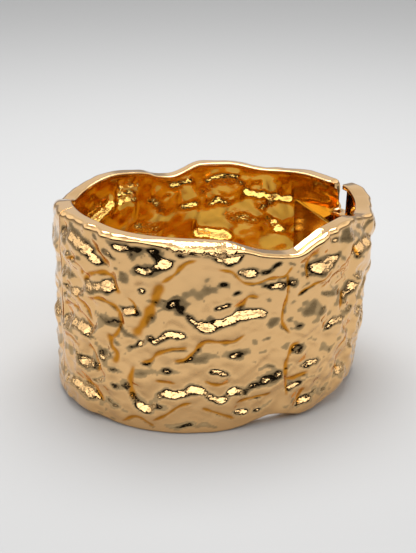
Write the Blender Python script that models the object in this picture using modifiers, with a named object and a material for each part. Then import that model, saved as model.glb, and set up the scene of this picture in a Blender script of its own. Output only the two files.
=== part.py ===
"""Hinged cuff bracelet: two cast half shells, the hinge pin between them and the spring's cover plate.

It stands on its lower rim, as on a table. +X is the hinge end, -X the closing seam and -Y the front.
The origin is the middle of the oval, at table height. A turn is an angle about +Z, in degrees from +X.
Sizes are in millimetres until the meshes are made, in metres.
"""
from collections import namedtuple
from math import ceil, hypot, pi, sqrt

import bmesh
import bpy
import numpy as np

MM = 0.001

# Oval and walls
OVAL_LENGTH = 63.7
OVAL_DEPTH = 56.0
OVAL_POWER = 2.2
HEIGHT = 38.0
RIM_WIDTH = 3.6
RIM_DEPTH = 1.0
SKIN = 1.35
EDGE = 0.6
END_WALL = 1.5
GAP = 0.3

# Closing seam, whose face is skewed: millimetres along the oval for each millimetre outwards
SEAM_TURN = 181.5
SEAM_SKEW = 0.58

# Hinge. Its axis stands inside the oval's end, and the half shells end on either side of it.
HINGE_INSET = 1.35
HINGE_Y = 4.3
HINGE_BELOW_RIM = 7.0
KNUCKLES = 3
KNUCKLE_RADIUS = 1.4
KNUCKLE_ARM = 2.0
PIN_RADIUS = 0.5
PIN_HEAD_RADIUS = 0.95
PIN_HEAD_HEIGHT = 0.5
REAR_END_GAP = 1.3
REAR_END_SKEW = 0.3
FRONT_END_GAP = 2.0
FRONT_END_SKEW = 0.25
END_FADE = 9.0
BLOCK_DROP = 1.0

# Spring plate, flat across the inside of the hinge: places are measured from the hinge's axis
PLATE_INSET = 4.7
PLATE_THICKNESS = 0.8
PLATE_PAST_HINGE = 11.8
PLATE_ON_REAR = 10.7

# Relief
FOLD_WIDTH = 1.2
FOLD_RISE = 1.0
SWELL_SPREAD = 10.0
SWELL_RISE = 1.0
RELIEF_EDGE = 2.2
RELIEF_AT_EDGE = 0.25
RELIEF_LIMIT = 1.1
BACK_FOLLOWS = 0.6

# Places that follow from the sizes
HINGE_X = OVAL_LENGTH / 2.0 - HINGE_INSET
HINGE_FOOT = HINGE_BELOW_RIM
HINGE_TOP = HEIGHT - HINGE_BELOW_RIM
FRONT_END_Y = HINGE_Y - FRONT_END_GAP
REAR_END_Y = HINGE_Y + REAR_END_GAP
PLATE_BACK_X = HINGE_X - PLATE_INSET

# Fineness of the meshes
COLUMN_STEP = 1.5
OUTER_ROWS = 23
BLOCK_ROWS = 9
ROUND_SIDES = 24
HEAD_STEPS = 4

# Height of the upper and the lower rim round the oval, as shares of HEIGHT
Wave = namedtuple("Wave", "turn height")
UPPER_RIM = [Wave(*row) for row in (
    (10, 0.989), (25, 0.995), (46, 0.984), (64, 1.016), (76, 1.017), (92, 0.956),
    (99, 0.968), (105, 0.996), (112, 1.012), (124, 1.025), (144, 1.002), (155, 0.986),
    (163, 1.020), (171, 1.040), (186, 1.042), (198, 1.045), (211, 1.034), (243, 1.021),
    (257, 1.003), (265, 0.968), (272, 0.939), (284, 0.916), (293, 0.958), (300, 0.992),
    (314, 1.008), (330, 0.974), (346, 0.994), (357, 1.010))]
LOWER_RIM = [Wave(*row) for row in (
    (0, 0.000), (22, 0.018), (40, 0.000), (62, 0.000), (80, 0.030), (97, 0.055),
    (114, 0.020), (130, 0.000), (152, 0.000), (168, 0.008), (192, 0.022), (202, 0.022),
    (212, 0.006), (219, 0.000), (255, 0.000), (262, 0.014), (268, 0.036), (274, 0.048),
    (280, 0.040), (287, 0.016), (297, 0.028), (306, 0.052), (316, 0.070), (330, 0.050),
    (346, 0.000))]

# Broad swells of the whole wall: spreads are shares of SWELL_SPREAD, the rise one of SWELL_RISE
Swell = namedtuple("Swell", "turn height spread_along spread_up rise")
SWELLS = [Swell(*row) for row in (
    (354, 0.92, 1.4, 0.8, 1.10), (333, 0.83, 0.9, 0.6, 0.65), (335, 0.00, 1.5, 1.3, -1.95),
    (0, 0.88, 0.6, 0.7, 0.40), (172, 0.88, 1.2, 0.9, 0.80), (174, 0.45, 1.2, 1.0, 0.80),
    (186, 0.04, 1.3, 1.0, 1.40), (238, 0.00, 1.0, 0.6, 0.70),
    (305, 0.45, 1.0, 1.0, 0.35), (250, 0.30, 1.3, 0.8, 0.40), (205, 0.60, 0.9, 1.2, 0.35),
    (20, 0.35, 1.2, 1.2, 0.35), (75, 0.55, 1.2, 1.0, 0.50), (125, 0.35, 1.2, 1.0, 0.40))]

# Folds of the cast relief on the front half. Seen from its start, a fold is hollow on its left and
# swells on its right. Heights are shares of HEIGHT, widths of FOLD_WIDTH and rises of FOLD_RISE.
Fold = namedtuple("Fold", "turn_from height_from turn_to height_to width rise")
FOLDS = [Fold(*row) for row in (
    (234, 0.71, 241, 0.67, 1.1, 1.0), (241, 0.66, 247, 0.58, 1.1, 1.1),
    (247, 0.60, 262, 0.64, 1.4, 1.2), (262, 0.65, 272, 0.65, 1.1, 1.0),
    (220, 0.17, 226, 0.13, 0.9, 0.7), (227, 0.13, 232, 0.22, 0.9, 0.6),
    (232, 0.24, 243, 0.26, 1.0, 1.0), (243, 0.26, 253, 0.20, 1.1, 1.0),
    (254, 0.23, 263, 0.21, 0.9, 0.9), (183, 0.95, 197, 0.96, 1.1, 0.8),
    (200, 0.96, 209, 0.90, 1.0, 0.8), (177, 0.70, 190, 0.78, 0.9, 0.8),
    (186, 0.69, 196, 0.69, 0.8, 0.7), (202, 0.77, 213, 0.79, 1.1, 0.7),
    (208, 0.30, 213, 0.40, 1.0, 0.7), (213, 0.40, 215, 0.64, 1.2, 0.8),
    (181, 0.47, 200, 0.53, 1.1, 0.8), (197, 0.36, 204, 0.36, 0.9, 0.7),
    (207, 0.42, 213, 0.43, 0.9, 0.8), (183, 0.16, 195, 0.20, 1.0, 0.8),
    (195, 0.20, 206, 0.18, 1.0, 0.8), (219, 0.49, 229, 0.52, 0.8, 0.6),
    (229, 0.52, 240, 0.58, 0.9, 0.7), (218, 0.92, 229, 0.92, 1.0, 0.8),
    (221, 0.51, 231, 0.78, 1.3, 0.6), (231, 0.80, 243, 0.84, 1.0, 0.4),
    (236, 0.40, 247, 0.51, 0.9, 0.4), (247, 0.51, 260, 0.50, 0.9, 0.4),
    (219, 0.36, 220, 0.17, 0.9, 0.4), (269, 0.79, 277, 0.78, 0.8, 0.6),
    (262, 0.89, 271, 0.87, 0.8, 0.4), (264, 0.29, 271, 0.24, 0.9, 0.6),
    (271, 0.32, 279, 0.29, 0.9, 0.6), (282, 0.22, 289, 0.23, 0.9, 0.6),
    (290, 0.87, 297, 0.87, 1.1, 0.6), (315, 0.90, 328, 0.90, 1.2, 0.8),
    (309, 0.68, 317, 0.69, 1.1, 0.7), (309, 0.57, 315, 0.56, 0.9, 0.6),
    (297, 0.53, 308, 0.54, 0.9, 0.5), (314, 0.37, 321, 0.37, 1.0, 0.6),
    (305, 0.25, 313, 0.26, 0.9, 0.6), (285, 0.12, 292, 0.15, 0.9, 0.6),
    (289, 0.33, 297, 0.33, 0.8, 0.5), (332, 0.66, 346, 0.72, 1.2, 0.7),
    (330, 0.36, 344, 0.42, 1.2, 0.6), (350, 0.52, 358, 0.55, 1.1, 0.6))]

# Straight creases, which are hollow all across
CREASES = [Fold(*row) for row in (
    (280, 0.82, 280, 0.56, 0.6, -0.6), (280, 0.44, 280, 0.18, 0.6, -0.6))]


def smooth_step(share):
    """Ease from 0 to 1 as share goes from 0 to 1."""
    share = np.clip(share, 0.0, 1.0)
    return share * share * (3.0 - 2.0 * share)


def turn_difference(turn, other):
    """Signed angle from other to turn, within half a turn."""
    return (np.asarray(turn, float) - other + 180.0) % 360.0 - 180.0


def arc_per_degree():
    """Mean length of the oval for each degree of turn."""
    return pi * (OVAL_LENGTH + OVAL_DEPTH) / 2.0 / 360.0


def wave_height(waves, turn):
    """Height on a smooth closed line through the waves, level between two that are equal."""
    knots = np.array([wave.turn for wave in waves], float)
    values = np.array([wave.height for wave in waves]) * HEIGHT
    spans = np.diff(np.append(knots, knots[0] + 360.0))
    rises = np.diff(np.append(values, values[0])) / spans
    before = np.roll(rises, 1)
    same = before * rises > 0.0
    slopes = np.where(same, 2.0 * before * rises / np.where(same, before + rises, 1.0), 0.0)
    place = (np.asarray(turn, float) - knots[0]) % 360.0
    index = np.searchsorted(knots - knots[0], place, side="right") - 1
    after = (index + 1) % len(knots)
    share = (place - (knots - knots[0])[index]) / spans[index]
    ease = smooth_step(share)
    return (values[index] * (1.0 - ease) + values[after] * ease
            + spans[index] * share * (1.0 - share) * (slopes[index] * (1.0 - share) - slopes[after] * share))


def oval(turn):
    """Point of the outer oval at a turn, and its outward normal."""
    cosine, sine = np.cos(np.radians(turn)), np.sin(np.radians(turn))
    half_x, half_y = OVAL_LENGTH / 2.0, OVAL_DEPTH / 2.0
    radius = (abs(cosine / half_x) ** OVAL_POWER + abs(sine / half_y) ** OVAL_POWER) ** (-1.0 / OVAL_POWER)
    x, y = radius * cosine, radius * sine
    slope_x = np.sign(x) * abs(x / half_x) ** (OVAL_POWER - 1.0) / half_x
    slope_y = np.sign(y) * abs(y / half_y) ** (OVAL_POWER - 1.0) / half_y
    steepness = np.hypot(slope_x, slope_y)
    return x, y, slope_x / steepness, slope_y / steepness


def swell_rise(turn, height):
    """Broad swelling of the whole wall."""
    total = np.zeros(np.broadcast(turn, height).shape)
    for swell in SWELLS:
        along = turn_difference(turn, swell.turn) * arc_per_degree() / (swell.spread_along * SWELL_SPREAD)
        up = (height - swell.height * HEIGHT) / (swell.spread_up * SWELL_SPREAD)
        total = total + swell.rise * SWELL_RISE * np.exp(-along ** 2 - up ** 2)
    return total


def stroke_places(fold, turn, height):
    """Distance to the left of a fold's line, and a share that is 1 along it and a half at its ends."""
    run_x = turn_difference(fold.turn_to, fold.turn_from) * arc_per_degree()
    run_z = (fold.height_to - fold.height_from) * HEIGHT
    length = hypot(run_x, run_z)
    x = turn_difference(turn, fold.turn_from) * arc_per_degree()
    z = height - fold.height_from * HEIGHT
    along = (x * run_x + z * run_z) / length
    left = (z * run_x - x * run_z) / length
    ease = min(fold.width * FOLD_WIDTH, length / 2.0)
    inside = smooth_step(np.minimum(along, length - along) / (2.0 * ease) + 0.5)
    return left, inside


def fold_rise(fold, turn, height):
    """Hollow on the left of the line and swollen on its right, fading across its ends."""
    left, inside = stroke_places(fold, turn, height)
    across = left / (fold.width * FOLD_WIDTH)
    return -fold.rise * FOLD_RISE * across * np.exp(0.5 - 0.5 * across ** 2) * inside


def crease_rise(fold, turn, height):
    """Equal on both sides of the line."""
    left, inside = stroke_places(fold, turn, height)
    across = left / (fold.width * FOLD_WIDTH)
    return fold.rise * FOLD_RISE * np.exp(-across ** 2) * inside


def rear_copy(fold):
    """The same fold on the rear half, turned half round and upside down."""
    return fold._replace(turn_from=fold.turn_from - 180, turn_to=fold.turn_to - 180,
                         height_from=1.0 - fold.height_from, height_to=1.0 - fold.height_to)


def relief_rise(turn, height):
    """Rise of the outer face above the swollen oval."""
    total = np.zeros(np.broadcast(turn, height).shape)
    for fold in FOLDS:
        total = total + fold_rise(fold, turn, height) + fold_rise(rear_copy(fold), turn, height)
    for crease in CREASES:
        total = total + crease_rise(crease, turn, height)
    inside = np.minimum(wave_height(UPPER_RIM, turn) - height, height - wave_height(LOWER_RIM, turn))
    fade = RELIEF_AT_EDGE + (1.0 - RELIEF_AT_EDGE) * smooth_step(inside / RELIEF_EDGE)
    return RELIEF_LIMIT * np.tanh(total * fade / RELIEF_LIMIT)


def turn_at(y):
    """Turn of the oval's point at the hinge end with this y."""
    half_x, half_y = OVAL_LENGTH / 2.0, OVAL_DEPTH / 2.0
    x = half_x * (1.0 - abs(y / half_y) ** OVAL_POWER) ** (1.0 / OVAL_POWER)
    return float(np.degrees(np.arctan2(y, x)))


End = namedtuple("End", "turn skew hinged")


def column_turns(start, end):
    """Turns of a half shell's columns: even between its two end walls."""
    wall = END_WALL / arc_per_degree()
    step_in = GAP / arc_per_degree()
    inner_start, inner_end = start + wall + step_in, end - wall - step_in
    count = ceil((inner_end - inner_start) * arc_per_degree() / COLUMN_STEP)
    between = np.linspace(inner_start, inner_end, count + 1)
    return np.concatenate(([start, start + wall], between, [end - wall, end]))


def half_shell(name, first, last, plate_seat):
    """One half of the cuff: a channel with flat rims and an open back.

    The seam's end wall closes the channel, and a hinge end has its wall only behind the hinge.
    A plate seat fills the channel there, flat for the spring plate.
    """
    turns = column_turns(first.turn, last.turn)
    x, y, normal_x, normal_y = oval(turns)
    from_first, to_last = (turns - first.turn) * arc_per_degree(), (last.turn - turns) * arc_per_degree()
    skew = (first.skew * (1.0 - smooth_step(from_first / END_FADE))
            + last.skew * (1.0 - smooth_step(to_last / END_FADE)))
    ray_x, ray_y = normal_x - skew * normal_y, normal_y + skew * normal_x
    top, foot = wave_height(UPPER_RIM, turns), wave_height(LOWER_RIM, turns)
    at_first, at_last = from_first < END_WALL + GAP / 2.0, to_last < END_WALL + GAP / 2.0
    full_wall = (at_first & (not first.hinged)) | (at_last & (not last.hinged))
    hinge_wall = full_wall | at_first | at_last
    seat = (PLATE_BACK_X + GAP - x) / ray_x
    seat = np.where((turns < 90.0) & plate_seat, seat, 0.0)

    heights, offsets = [], []

    def add(height, offset):
        heights.append(height + np.zeros_like(turns))
        offsets.append(offset + np.zeros_like(turns))

    for row in range(OUTER_ROWS):
        height = foot + EDGE + (top - foot - 2.0 * EDGE) * row / (OUTER_ROWS - 1)
        add(height, swell_rise(turns, height) + relief_rise(turns, height))
    upper_swell, lower_swell = swell_rise(turns, top), swell_rise(turns, foot)
    add(top, offsets[-1] - EDGE)
    add(top, upper_swell - RIM_WIDTH)
    add(top - RIM_DEPTH, upper_swell - RIM_WIDTH)
    block_top, block_foot = HINGE_TOP - BLOCK_DROP, HINGE_FOOT + BLOCK_DROP
    under_rim, over_rim = top - RIM_DEPTH, foot + RIM_DEPTH
    rows = [(under_rim, False), ((under_rim + block_top) / 2.0, False), (block_top + GAP, False)]
    rows += [(height, True) for height in np.linspace(block_top, block_foot, BLOCK_ROWS)]
    rows += [(block_foot - GAP, False), ((block_foot + over_rim) / 2.0, False), (over_rim, False)]
    for height, at_hinge in rows:
        swell = swell_rise(turns, height)
        back = swell + BACK_FOLLOWS * relief_rise(turns, height) - SKIN
        if at_hinge:
            back = np.minimum(back, seat)
        wall = hinge_wall if at_hinge else full_wall
        add(height, np.where(wall, np.minimum(back, swell - RIM_WIDTH), back))
    add(over_rim, lower_swell - RIM_WIDTH)
    add(foot, lower_swell - RIM_WIDTH)
    add(foot, offsets[0] - EDGE)

    heights, offsets = np.array(heights), np.array(offsets)
    points = np.stack([x + ray_x * offsets, y + ray_y * offsets, heights], axis=-1)
    return loft(name, points.transpose(1, 0, 2))


def loft(name, sections):
    """A closed solid through equal closed sections, with a cap at each end."""
    count, around = sections.shape[:2]
    points = [tuple(point) for point in sections.reshape(-1, 3) * MM]
    faces = []
    for column in range(count - 1):
        here, there = column * around, (column + 1) * around
        for step in range(around):
            after = (step + 1) % around
            faces.append((here + step, there + step, there + after, here + after))
    faces.append(tuple(range(around)))
    faces.append(tuple(reversed(range((count - 1) * around, count * around))))
    mesh = bpy.data.meshes.new(name)
    mesh.from_pydata(points, [], faces)
    mesh.validate()
    return mesh


def knuckle_spans():
    """Foot and top of each hinge knuckle, from the lowest up."""
    length = (HINGE_TOP - HINGE_FOOT - GAP * (KNUCKLES - 1)) / KNUCKLES
    return [(HINGE_FOOT + index * (length + GAP), HINGE_FOOT + index * (length + GAP) + length)
            for index in range(KNUCKLES)]


def cylinder(name, radius, foot, top, collection):
    """An upright cylinder about the hinge axis."""
    mesh = bpy.data.meshes.new(name)
    solid = bmesh.new()
    bmesh.ops.create_cone(solid, cap_ends=True, segments=ROUND_SIDES, radius1=radius * MM,
                          radius2=radius * MM, depth=(top - foot) * MM)
    solid.to_mesh(mesh)
    solid.free()
    made = place(name, mesh, collection)
    made.location = (HINGE_X * MM, HINGE_Y * MM, (foot + top) / 2.0 * MM)
    return made


def box(name, low, high, collection):
    """A box between two corners."""
    mesh = bpy.data.meshes.new(name)
    solid = bmesh.new()
    bmesh.ops.create_cube(solid, size=1.0)
    size = [(high[axis] - low[axis]) * MM for axis in range(3)]
    bmesh.ops.scale(solid, vec=size, verts=solid.verts)
    solid.to_mesh(mesh)
    solid.free()
    made = place(name, mesh, collection)
    made.location = [(high[axis] + low[axis]) / 2.0 * MM for axis in range(3)]
    return made


def place(name, mesh, collection):
    """An object for a mesh, in a collection."""
    made = bpy.data.objects.new(name, mesh)
    collection.objects.link(made)
    return made


def cut(target, tool, operation):
    """Join a tool to the target or take it away, and keep the tool as a guide."""
    tool.hide_render = True
    tool.display_type = "WIRE"
    change = target.modifiers.new(tool.name, "BOOLEAN")
    change.operation = operation
    change.solver = "EXACT"
    change.object = tool


def add_knuckles(shell, indexes, arm_y, tools):
    """Join the shell's knuckles and their arms, which reach into it at arm_y, and bore them for the pin."""
    spans = knuckle_spans()
    for index in indexes:
        foot, top = spans[index]
        cut(shell, cylinder(f"{shell.name}_knuckle_{index}", KNUCKLE_RADIUS, foot, top, tools), "UNION")
        low = (HINGE_X - KNUCKLE_ARM / 2.0, min(arm_y, HINGE_Y), foot)
        high = (HINGE_X + KNUCKLE_ARM / 2.0, max(arm_y, HINGE_Y), top)
        cut(shell, box(f"{shell.name}_arm_{index}", low, high, tools), "UNION")
    bore_foot, bore_top = HINGE_FOOT - GAP, HINGE_TOP + GAP
    cut(shell, cylinder(f"{shell.name}_bore", PIN_RADIUS + GAP, bore_foot, bore_top, tools), "DIFFERENCE")


def clear_rear_end(shell, tools):
    """Cut the rear shell away round the front shell's knuckles and the pin's heads."""
    for index in range(0, KNUCKLES, 2):
        foot, top = knuckle_spans()[index]
        cut(shell, cylinder(f"knuckle_clearance_{index}", KNUCKLE_RADIUS + 2.0 * GAP, foot - GAP, top + GAP,
                            tools), "DIFFERENCE")
    room = PIN_HEAD_HEIGHT + 2.0 * GAP
    cut(shell, cylinder("upper_head_clearance", PIN_HEAD_RADIUS + GAP, HINGE_TOP, HINGE_TOP + room, tools),
        "DIFFERENCE")
    cut(shell, cylinder("lower_head_clearance", PIN_HEAD_RADIUS + GAP, HINGE_FOOT - room, HINGE_FOOT, tools),
        "DIFFERENCE")


def hinge_pin(collection):
    """The pin with a low dome at each end, turned about the hinge axis."""
    profile = []
    for step in range(HEAD_STEPS + 1):
        angle = pi / 2.0 * step / HEAD_STEPS
        profile.append((PIN_HEAD_RADIUS * np.sin(angle), HINGE_TOP + GAP + PIN_HEAD_HEIGHT * np.cos(angle)))
    profile.append((PIN_RADIUS, HINGE_TOP + GAP))
    middle = HINGE_FOOT + HINGE_TOP
    profile += [(radius, middle - height) for radius, height in reversed(profile)]
    mesh = bpy.data.meshes.new("hinge_pin")
    points = [(radius * MM, 0.0, height * MM) for radius, height in profile]
    mesh.from_pydata(points, [(index, index + 1) for index in range(len(points) - 1)], [])
    pin = place("hinge_pin", mesh, collection)
    pin.location = (HINGE_X * MM, HINGE_Y * MM, 0.0)
    turned = pin.modifiers.new("turned", "SCREW")
    turned.steps = turned.render_steps = ROUND_SIDES
    turned.use_merge_vertices = True
    turned.merge_threshold = 0.00001
    return pin


def spring_plate(collection):
    """The flat cover plate, seated on the rear shell's hinge block."""
    low = (PLATE_BACK_X - PLATE_THICKNESS, HINGE_Y - PLATE_PAST_HINGE, HINGE_FOOT)
    high = (PLATE_BACK_X, HINGE_Y + PLATE_ON_REAR, HINGE_TOP)
    return box("spring_plate", low, high, collection)


def metal(name, colour, roughness):
    """Polished gold plate on cast metal."""
    made = bpy.data.materials.new(name)
    made.use_nodes = True
    shader = made.node_tree.nodes["Principled BSDF"]
    shader.inputs["Base Color"].default_value = colour
    shader.inputs["Metallic"].default_value = 1.0
    shader.inputs["Roughness"].default_value = roughness
    return made


def move_origin(made, location, parent):
    """Put an object's origin at a place without moving its shape, under a parent that stands there."""
    shift = made.location.copy()
    for vertex in made.data.vertices:
        vertex.co += shift - location
    made.location = (0.0, 0.0, 0.0)
    made.parent = parent


def build():
    """Make the four pieces."""
    for old in list(bpy.data.objects):
        bpy.data.objects.remove(old, do_unlink=True)
    scene = bpy.context.scene
    parts = bpy.data.collections.new("cuff_bracelet")
    tools = bpy.data.collections.new("cutters")
    scene.collection.children.link(parts)
    scene.collection.children.link(tools)

    seam_half = GAP / 2.0 * sqrt(1.0 + SEAM_SKEW ** 2) / arc_per_degree()
    front_mesh = half_shell("front_shell", End(SEAM_TURN + seam_half, SEAM_SKEW, False),
                            End(360.0 + turn_at(FRONT_END_Y), FRONT_END_SKEW, True), False)
    rear_mesh = half_shell("rear_shell", End(turn_at(REAR_END_Y), REAR_END_SKEW, True),
                           End(SEAM_TURN - seam_half, SEAM_SKEW, False), True)
    front, rear = place("front_shell", front_mesh, parts), place("rear_shell", rear_mesh, parts)
    pin, plate = hinge_pin(parts), spring_plate(parts)

    axis = bpy.data.objects.new("hinge_axis", None)
    axis.location = (HINGE_X * MM, HINGE_Y * MM, 0.0)
    parts.objects.link(axis)
    for moving in (rear, plate):
        move_origin(moving, axis.location, axis)

    add_knuckles(front, range(0, KNUCKLES, 2), FRONT_END_Y - END_WALL, tools)
    clear_rear_end(rear, tools)
    add_knuckles(rear, range(1, KNUCKLES, 2), REAR_END_Y + END_WALL, tools)

    looks = ((front, (0.83, 0.57, 0.27, 1.0), 0.12), (rear, (0.83, 0.55, 0.25, 1.0), 0.14),
             (pin, (0.80, 0.56, 0.27, 1.0), 0.20), (plate, (0.72, 0.44, 0.16, 1.0), 0.18))
    for piece, colour, roughness in looks:
        piece.data.materials.append(metal(f"{piece.name}_gold_plate", colour, roughness))
        piece.data.shade_smooth()
    for piece in (front, rear, plate):
        piece.data.set_sharp_from_angle(angle=pi / 5.0)


build()
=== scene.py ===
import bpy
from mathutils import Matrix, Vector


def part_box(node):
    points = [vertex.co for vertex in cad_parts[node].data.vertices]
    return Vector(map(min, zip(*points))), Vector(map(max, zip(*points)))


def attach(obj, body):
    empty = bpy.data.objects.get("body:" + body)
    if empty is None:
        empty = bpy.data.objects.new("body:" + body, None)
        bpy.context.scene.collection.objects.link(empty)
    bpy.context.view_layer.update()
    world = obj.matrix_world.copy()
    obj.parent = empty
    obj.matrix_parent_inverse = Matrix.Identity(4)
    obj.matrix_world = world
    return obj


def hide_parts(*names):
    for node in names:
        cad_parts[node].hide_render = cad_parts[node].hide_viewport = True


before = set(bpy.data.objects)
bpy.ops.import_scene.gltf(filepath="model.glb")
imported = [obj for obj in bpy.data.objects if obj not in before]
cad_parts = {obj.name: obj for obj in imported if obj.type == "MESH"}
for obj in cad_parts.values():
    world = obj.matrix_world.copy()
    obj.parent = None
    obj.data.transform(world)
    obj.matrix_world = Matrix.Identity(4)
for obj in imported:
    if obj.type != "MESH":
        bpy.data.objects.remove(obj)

"""Looks of the hinged cuff bracelet: two fine cast shells, knuckles, hinge pin and spring plate.

Sizes are in millimetres until a mesh is made, in metres. A turn is an angle about +Z, in degrees from +X,
and a height is measured from the table.
"""
from collections import namedtuple
from math import cos, degrees, pi, radians, sin, sqrt, tan

import bmesh
import bpy
import numpy as np
from mathutils import Vector

bl_info = {
    "name": "Hinged cuff bracelet",
    "version": (1, 0, 0),
    "blender": (4, 5, 0),
    "location": "3D View > Sidebar > Cuff",
    "description": "Models the cast surface, hinge and finish of a gold-plated hinged cuff bracelet",
    "category": "Add Mesh",
}

MM = 0.001
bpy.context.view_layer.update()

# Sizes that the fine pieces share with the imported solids
OVAL_LENGTH = 63.7
OVAL_DEPTH = 56.0
OVAL_POWER = 2.2
HEIGHT = 38.0
RIM_WIDTH = 3.6
RIM_DEPTH = 1.0
SKIN = 1.35
END_WALL = 1.5
GAP = 0.3
SEAM_TURN = 181.5
SEAM_SKEW = 0.58
KNUCKLES = 3
KNUCKLE_RADIUS = 1.4
KNUCKLE_ARM = 2.0
REAR_END_GAP = 1.3
REAR_END_SKEW = 0.3
FRONT_END_GAP = 2.0
FRONT_END_SKEW = 0.25
END_FADE = 9.0
BLOCK_DROP = 1.0
SWELL_SPREAD = 10.0
PIN_ROD_RADIUS = 0.5
PIN_HEAD_HEIGHT = 0.8
PIN_HEAD_RIM = 0.3

# Places read from the frame
PLATE_LOW, PLATE_HIGH = (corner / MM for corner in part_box("spring_plate"))
PIN_LOW, PIN_HIGH = (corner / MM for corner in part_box("hinge_pin"))
HINGE_X = (PIN_LOW.x + PIN_HIGH.x) / 2.0
HINGE_Y = (PIN_LOW.y + PIN_HIGH.y) / 2.0
HINGE_FOOT = PLATE_LOW.z
HINGE_TOP = PLATE_HIGH.z

# Small roundings that only the fine shells have, and the flat facet on the front's upper rim, whose
# place and half width are turns
SEAM_ROUND = 0.1
END_ROUND = 0.35
CORNER_ROUND = 1.3
FACET_TURN = 293.0
FACET_HALF = 7.0
FACET_DEPTH = 0.4

# Fineness: the columns' spacing in millimetres, counts of columns, rows and sides, the angle in degrees
# under which an edge looks smooth, and how far along the pin a face points to count as an end
COLUMN_STEP = 0.29
CORNER_COLUMNS = 6
WALL_COLUMNS = 5
OUTER_ROWS = 150
EDGE_ROWS = 9
LAND_ROWS = 10
LIP_ROWS = 3
CHANNEL_ROWS = 14
BLOCK_ROWS = 50
PIN_DOME_RINGS = 6
ROUND_SIDES = 48
FLOOR_SIDES = 96
KNUCKLE_BEVELS = 3
PLATE_BEVELS = 4
SMOOTH_ANGLE = 38.0
PIN_END_FACE = 0.9

# Height of the upper and the lower rim round the oval, as shares of HEIGHT, and the radius of the
# upper outer edge in millimetres
Wave = namedtuple("Wave", "turn size")
UPPER_RIM = [Wave(*row) for row in (
    (10, 0.989), (25, 0.995), (46, 0.984), (64, 1.016), (76, 1.017), (92, 0.956),
    (99, 0.968), (105, 0.996), (112, 1.012), (124, 1.025), (144, 1.002), (155, 0.986),
    (163, 1.020), (171, 1.040), (186, 1.042), (198, 1.045), (211, 1.034), (243, 1.021),
    (257, 1.003), (265, 0.968), (272, 0.939), (284, 0.916), (293, 0.958), (300, 0.992),
    (314, 1.008), (330, 0.974), (346, 0.994), (357, 1.010))]
LOWER_RIM = [Wave(*row) for row in (
    (0, 0.000), (22, 0.018), (40, 0.000), (62, 0.000), (80, 0.030), (97, 0.055),
    (114, 0.020), (130, 0.000), (152, 0.000), (168, 0.008), (192, 0.022), (202, 0.022),
    (212, 0.006), (219, 0.000), (255, 0.000), (262, 0.014), (268, 0.036), (274, 0.048),
    (280, 0.040), (287, 0.016), (297, 0.028), (306, 0.052), (316, 0.070), (330, 0.050),
    (346, 0.000))]
EDGE_RADIUS = [Wave(*row) for row in (
    (5, 1.0), (60, 1.5), (95, 0.8), (140, 1.7), (182, 1.2), (205, 1.2), (216, 1.3), (224, 0.9),
    (236, 2.0), (256, 2.4), (264, 1.0), (284, 0.8), (290, 1.2), (303, 1.1), (345, 1.0))]
FOOT_RADIUS = 0.7

# Broad swells of the whole wall: spreads are shares of SWELL_SPREAD, the rise is in millimetres
Swell = namedtuple("Swell", "turn height spread_along spread_up rise")
SWELLS = [Swell(*row) for row in (
    (354, 0.92, 1.4, 0.8, 1.10), (333, 0.83, 0.9, 0.6, 0.65), (335, 0.00, 1.5, 1.3, -1.95),
    (0, 0.88, 0.6, 0.7, 0.40), (172, 0.88, 1.2, 0.9, 0.80), (174, 0.45, 1.2, 1.0, 0.80),
    (186, 0.04, 1.3, 1.0, 1.40), (238, 0.00, 1.0, 0.6, 0.70),
    (305, 0.45, 1.0, 1.0, 0.35), (250, 0.30, 1.3, 0.8, 0.40), (205, 0.60, 0.9, 1.2, 0.35),
    (20, 0.35, 1.2, 1.2, 0.35), (75, 0.55, 1.2, 1.0, 0.50), (125, 0.35, 1.2, 1.0, 0.40))]

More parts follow.
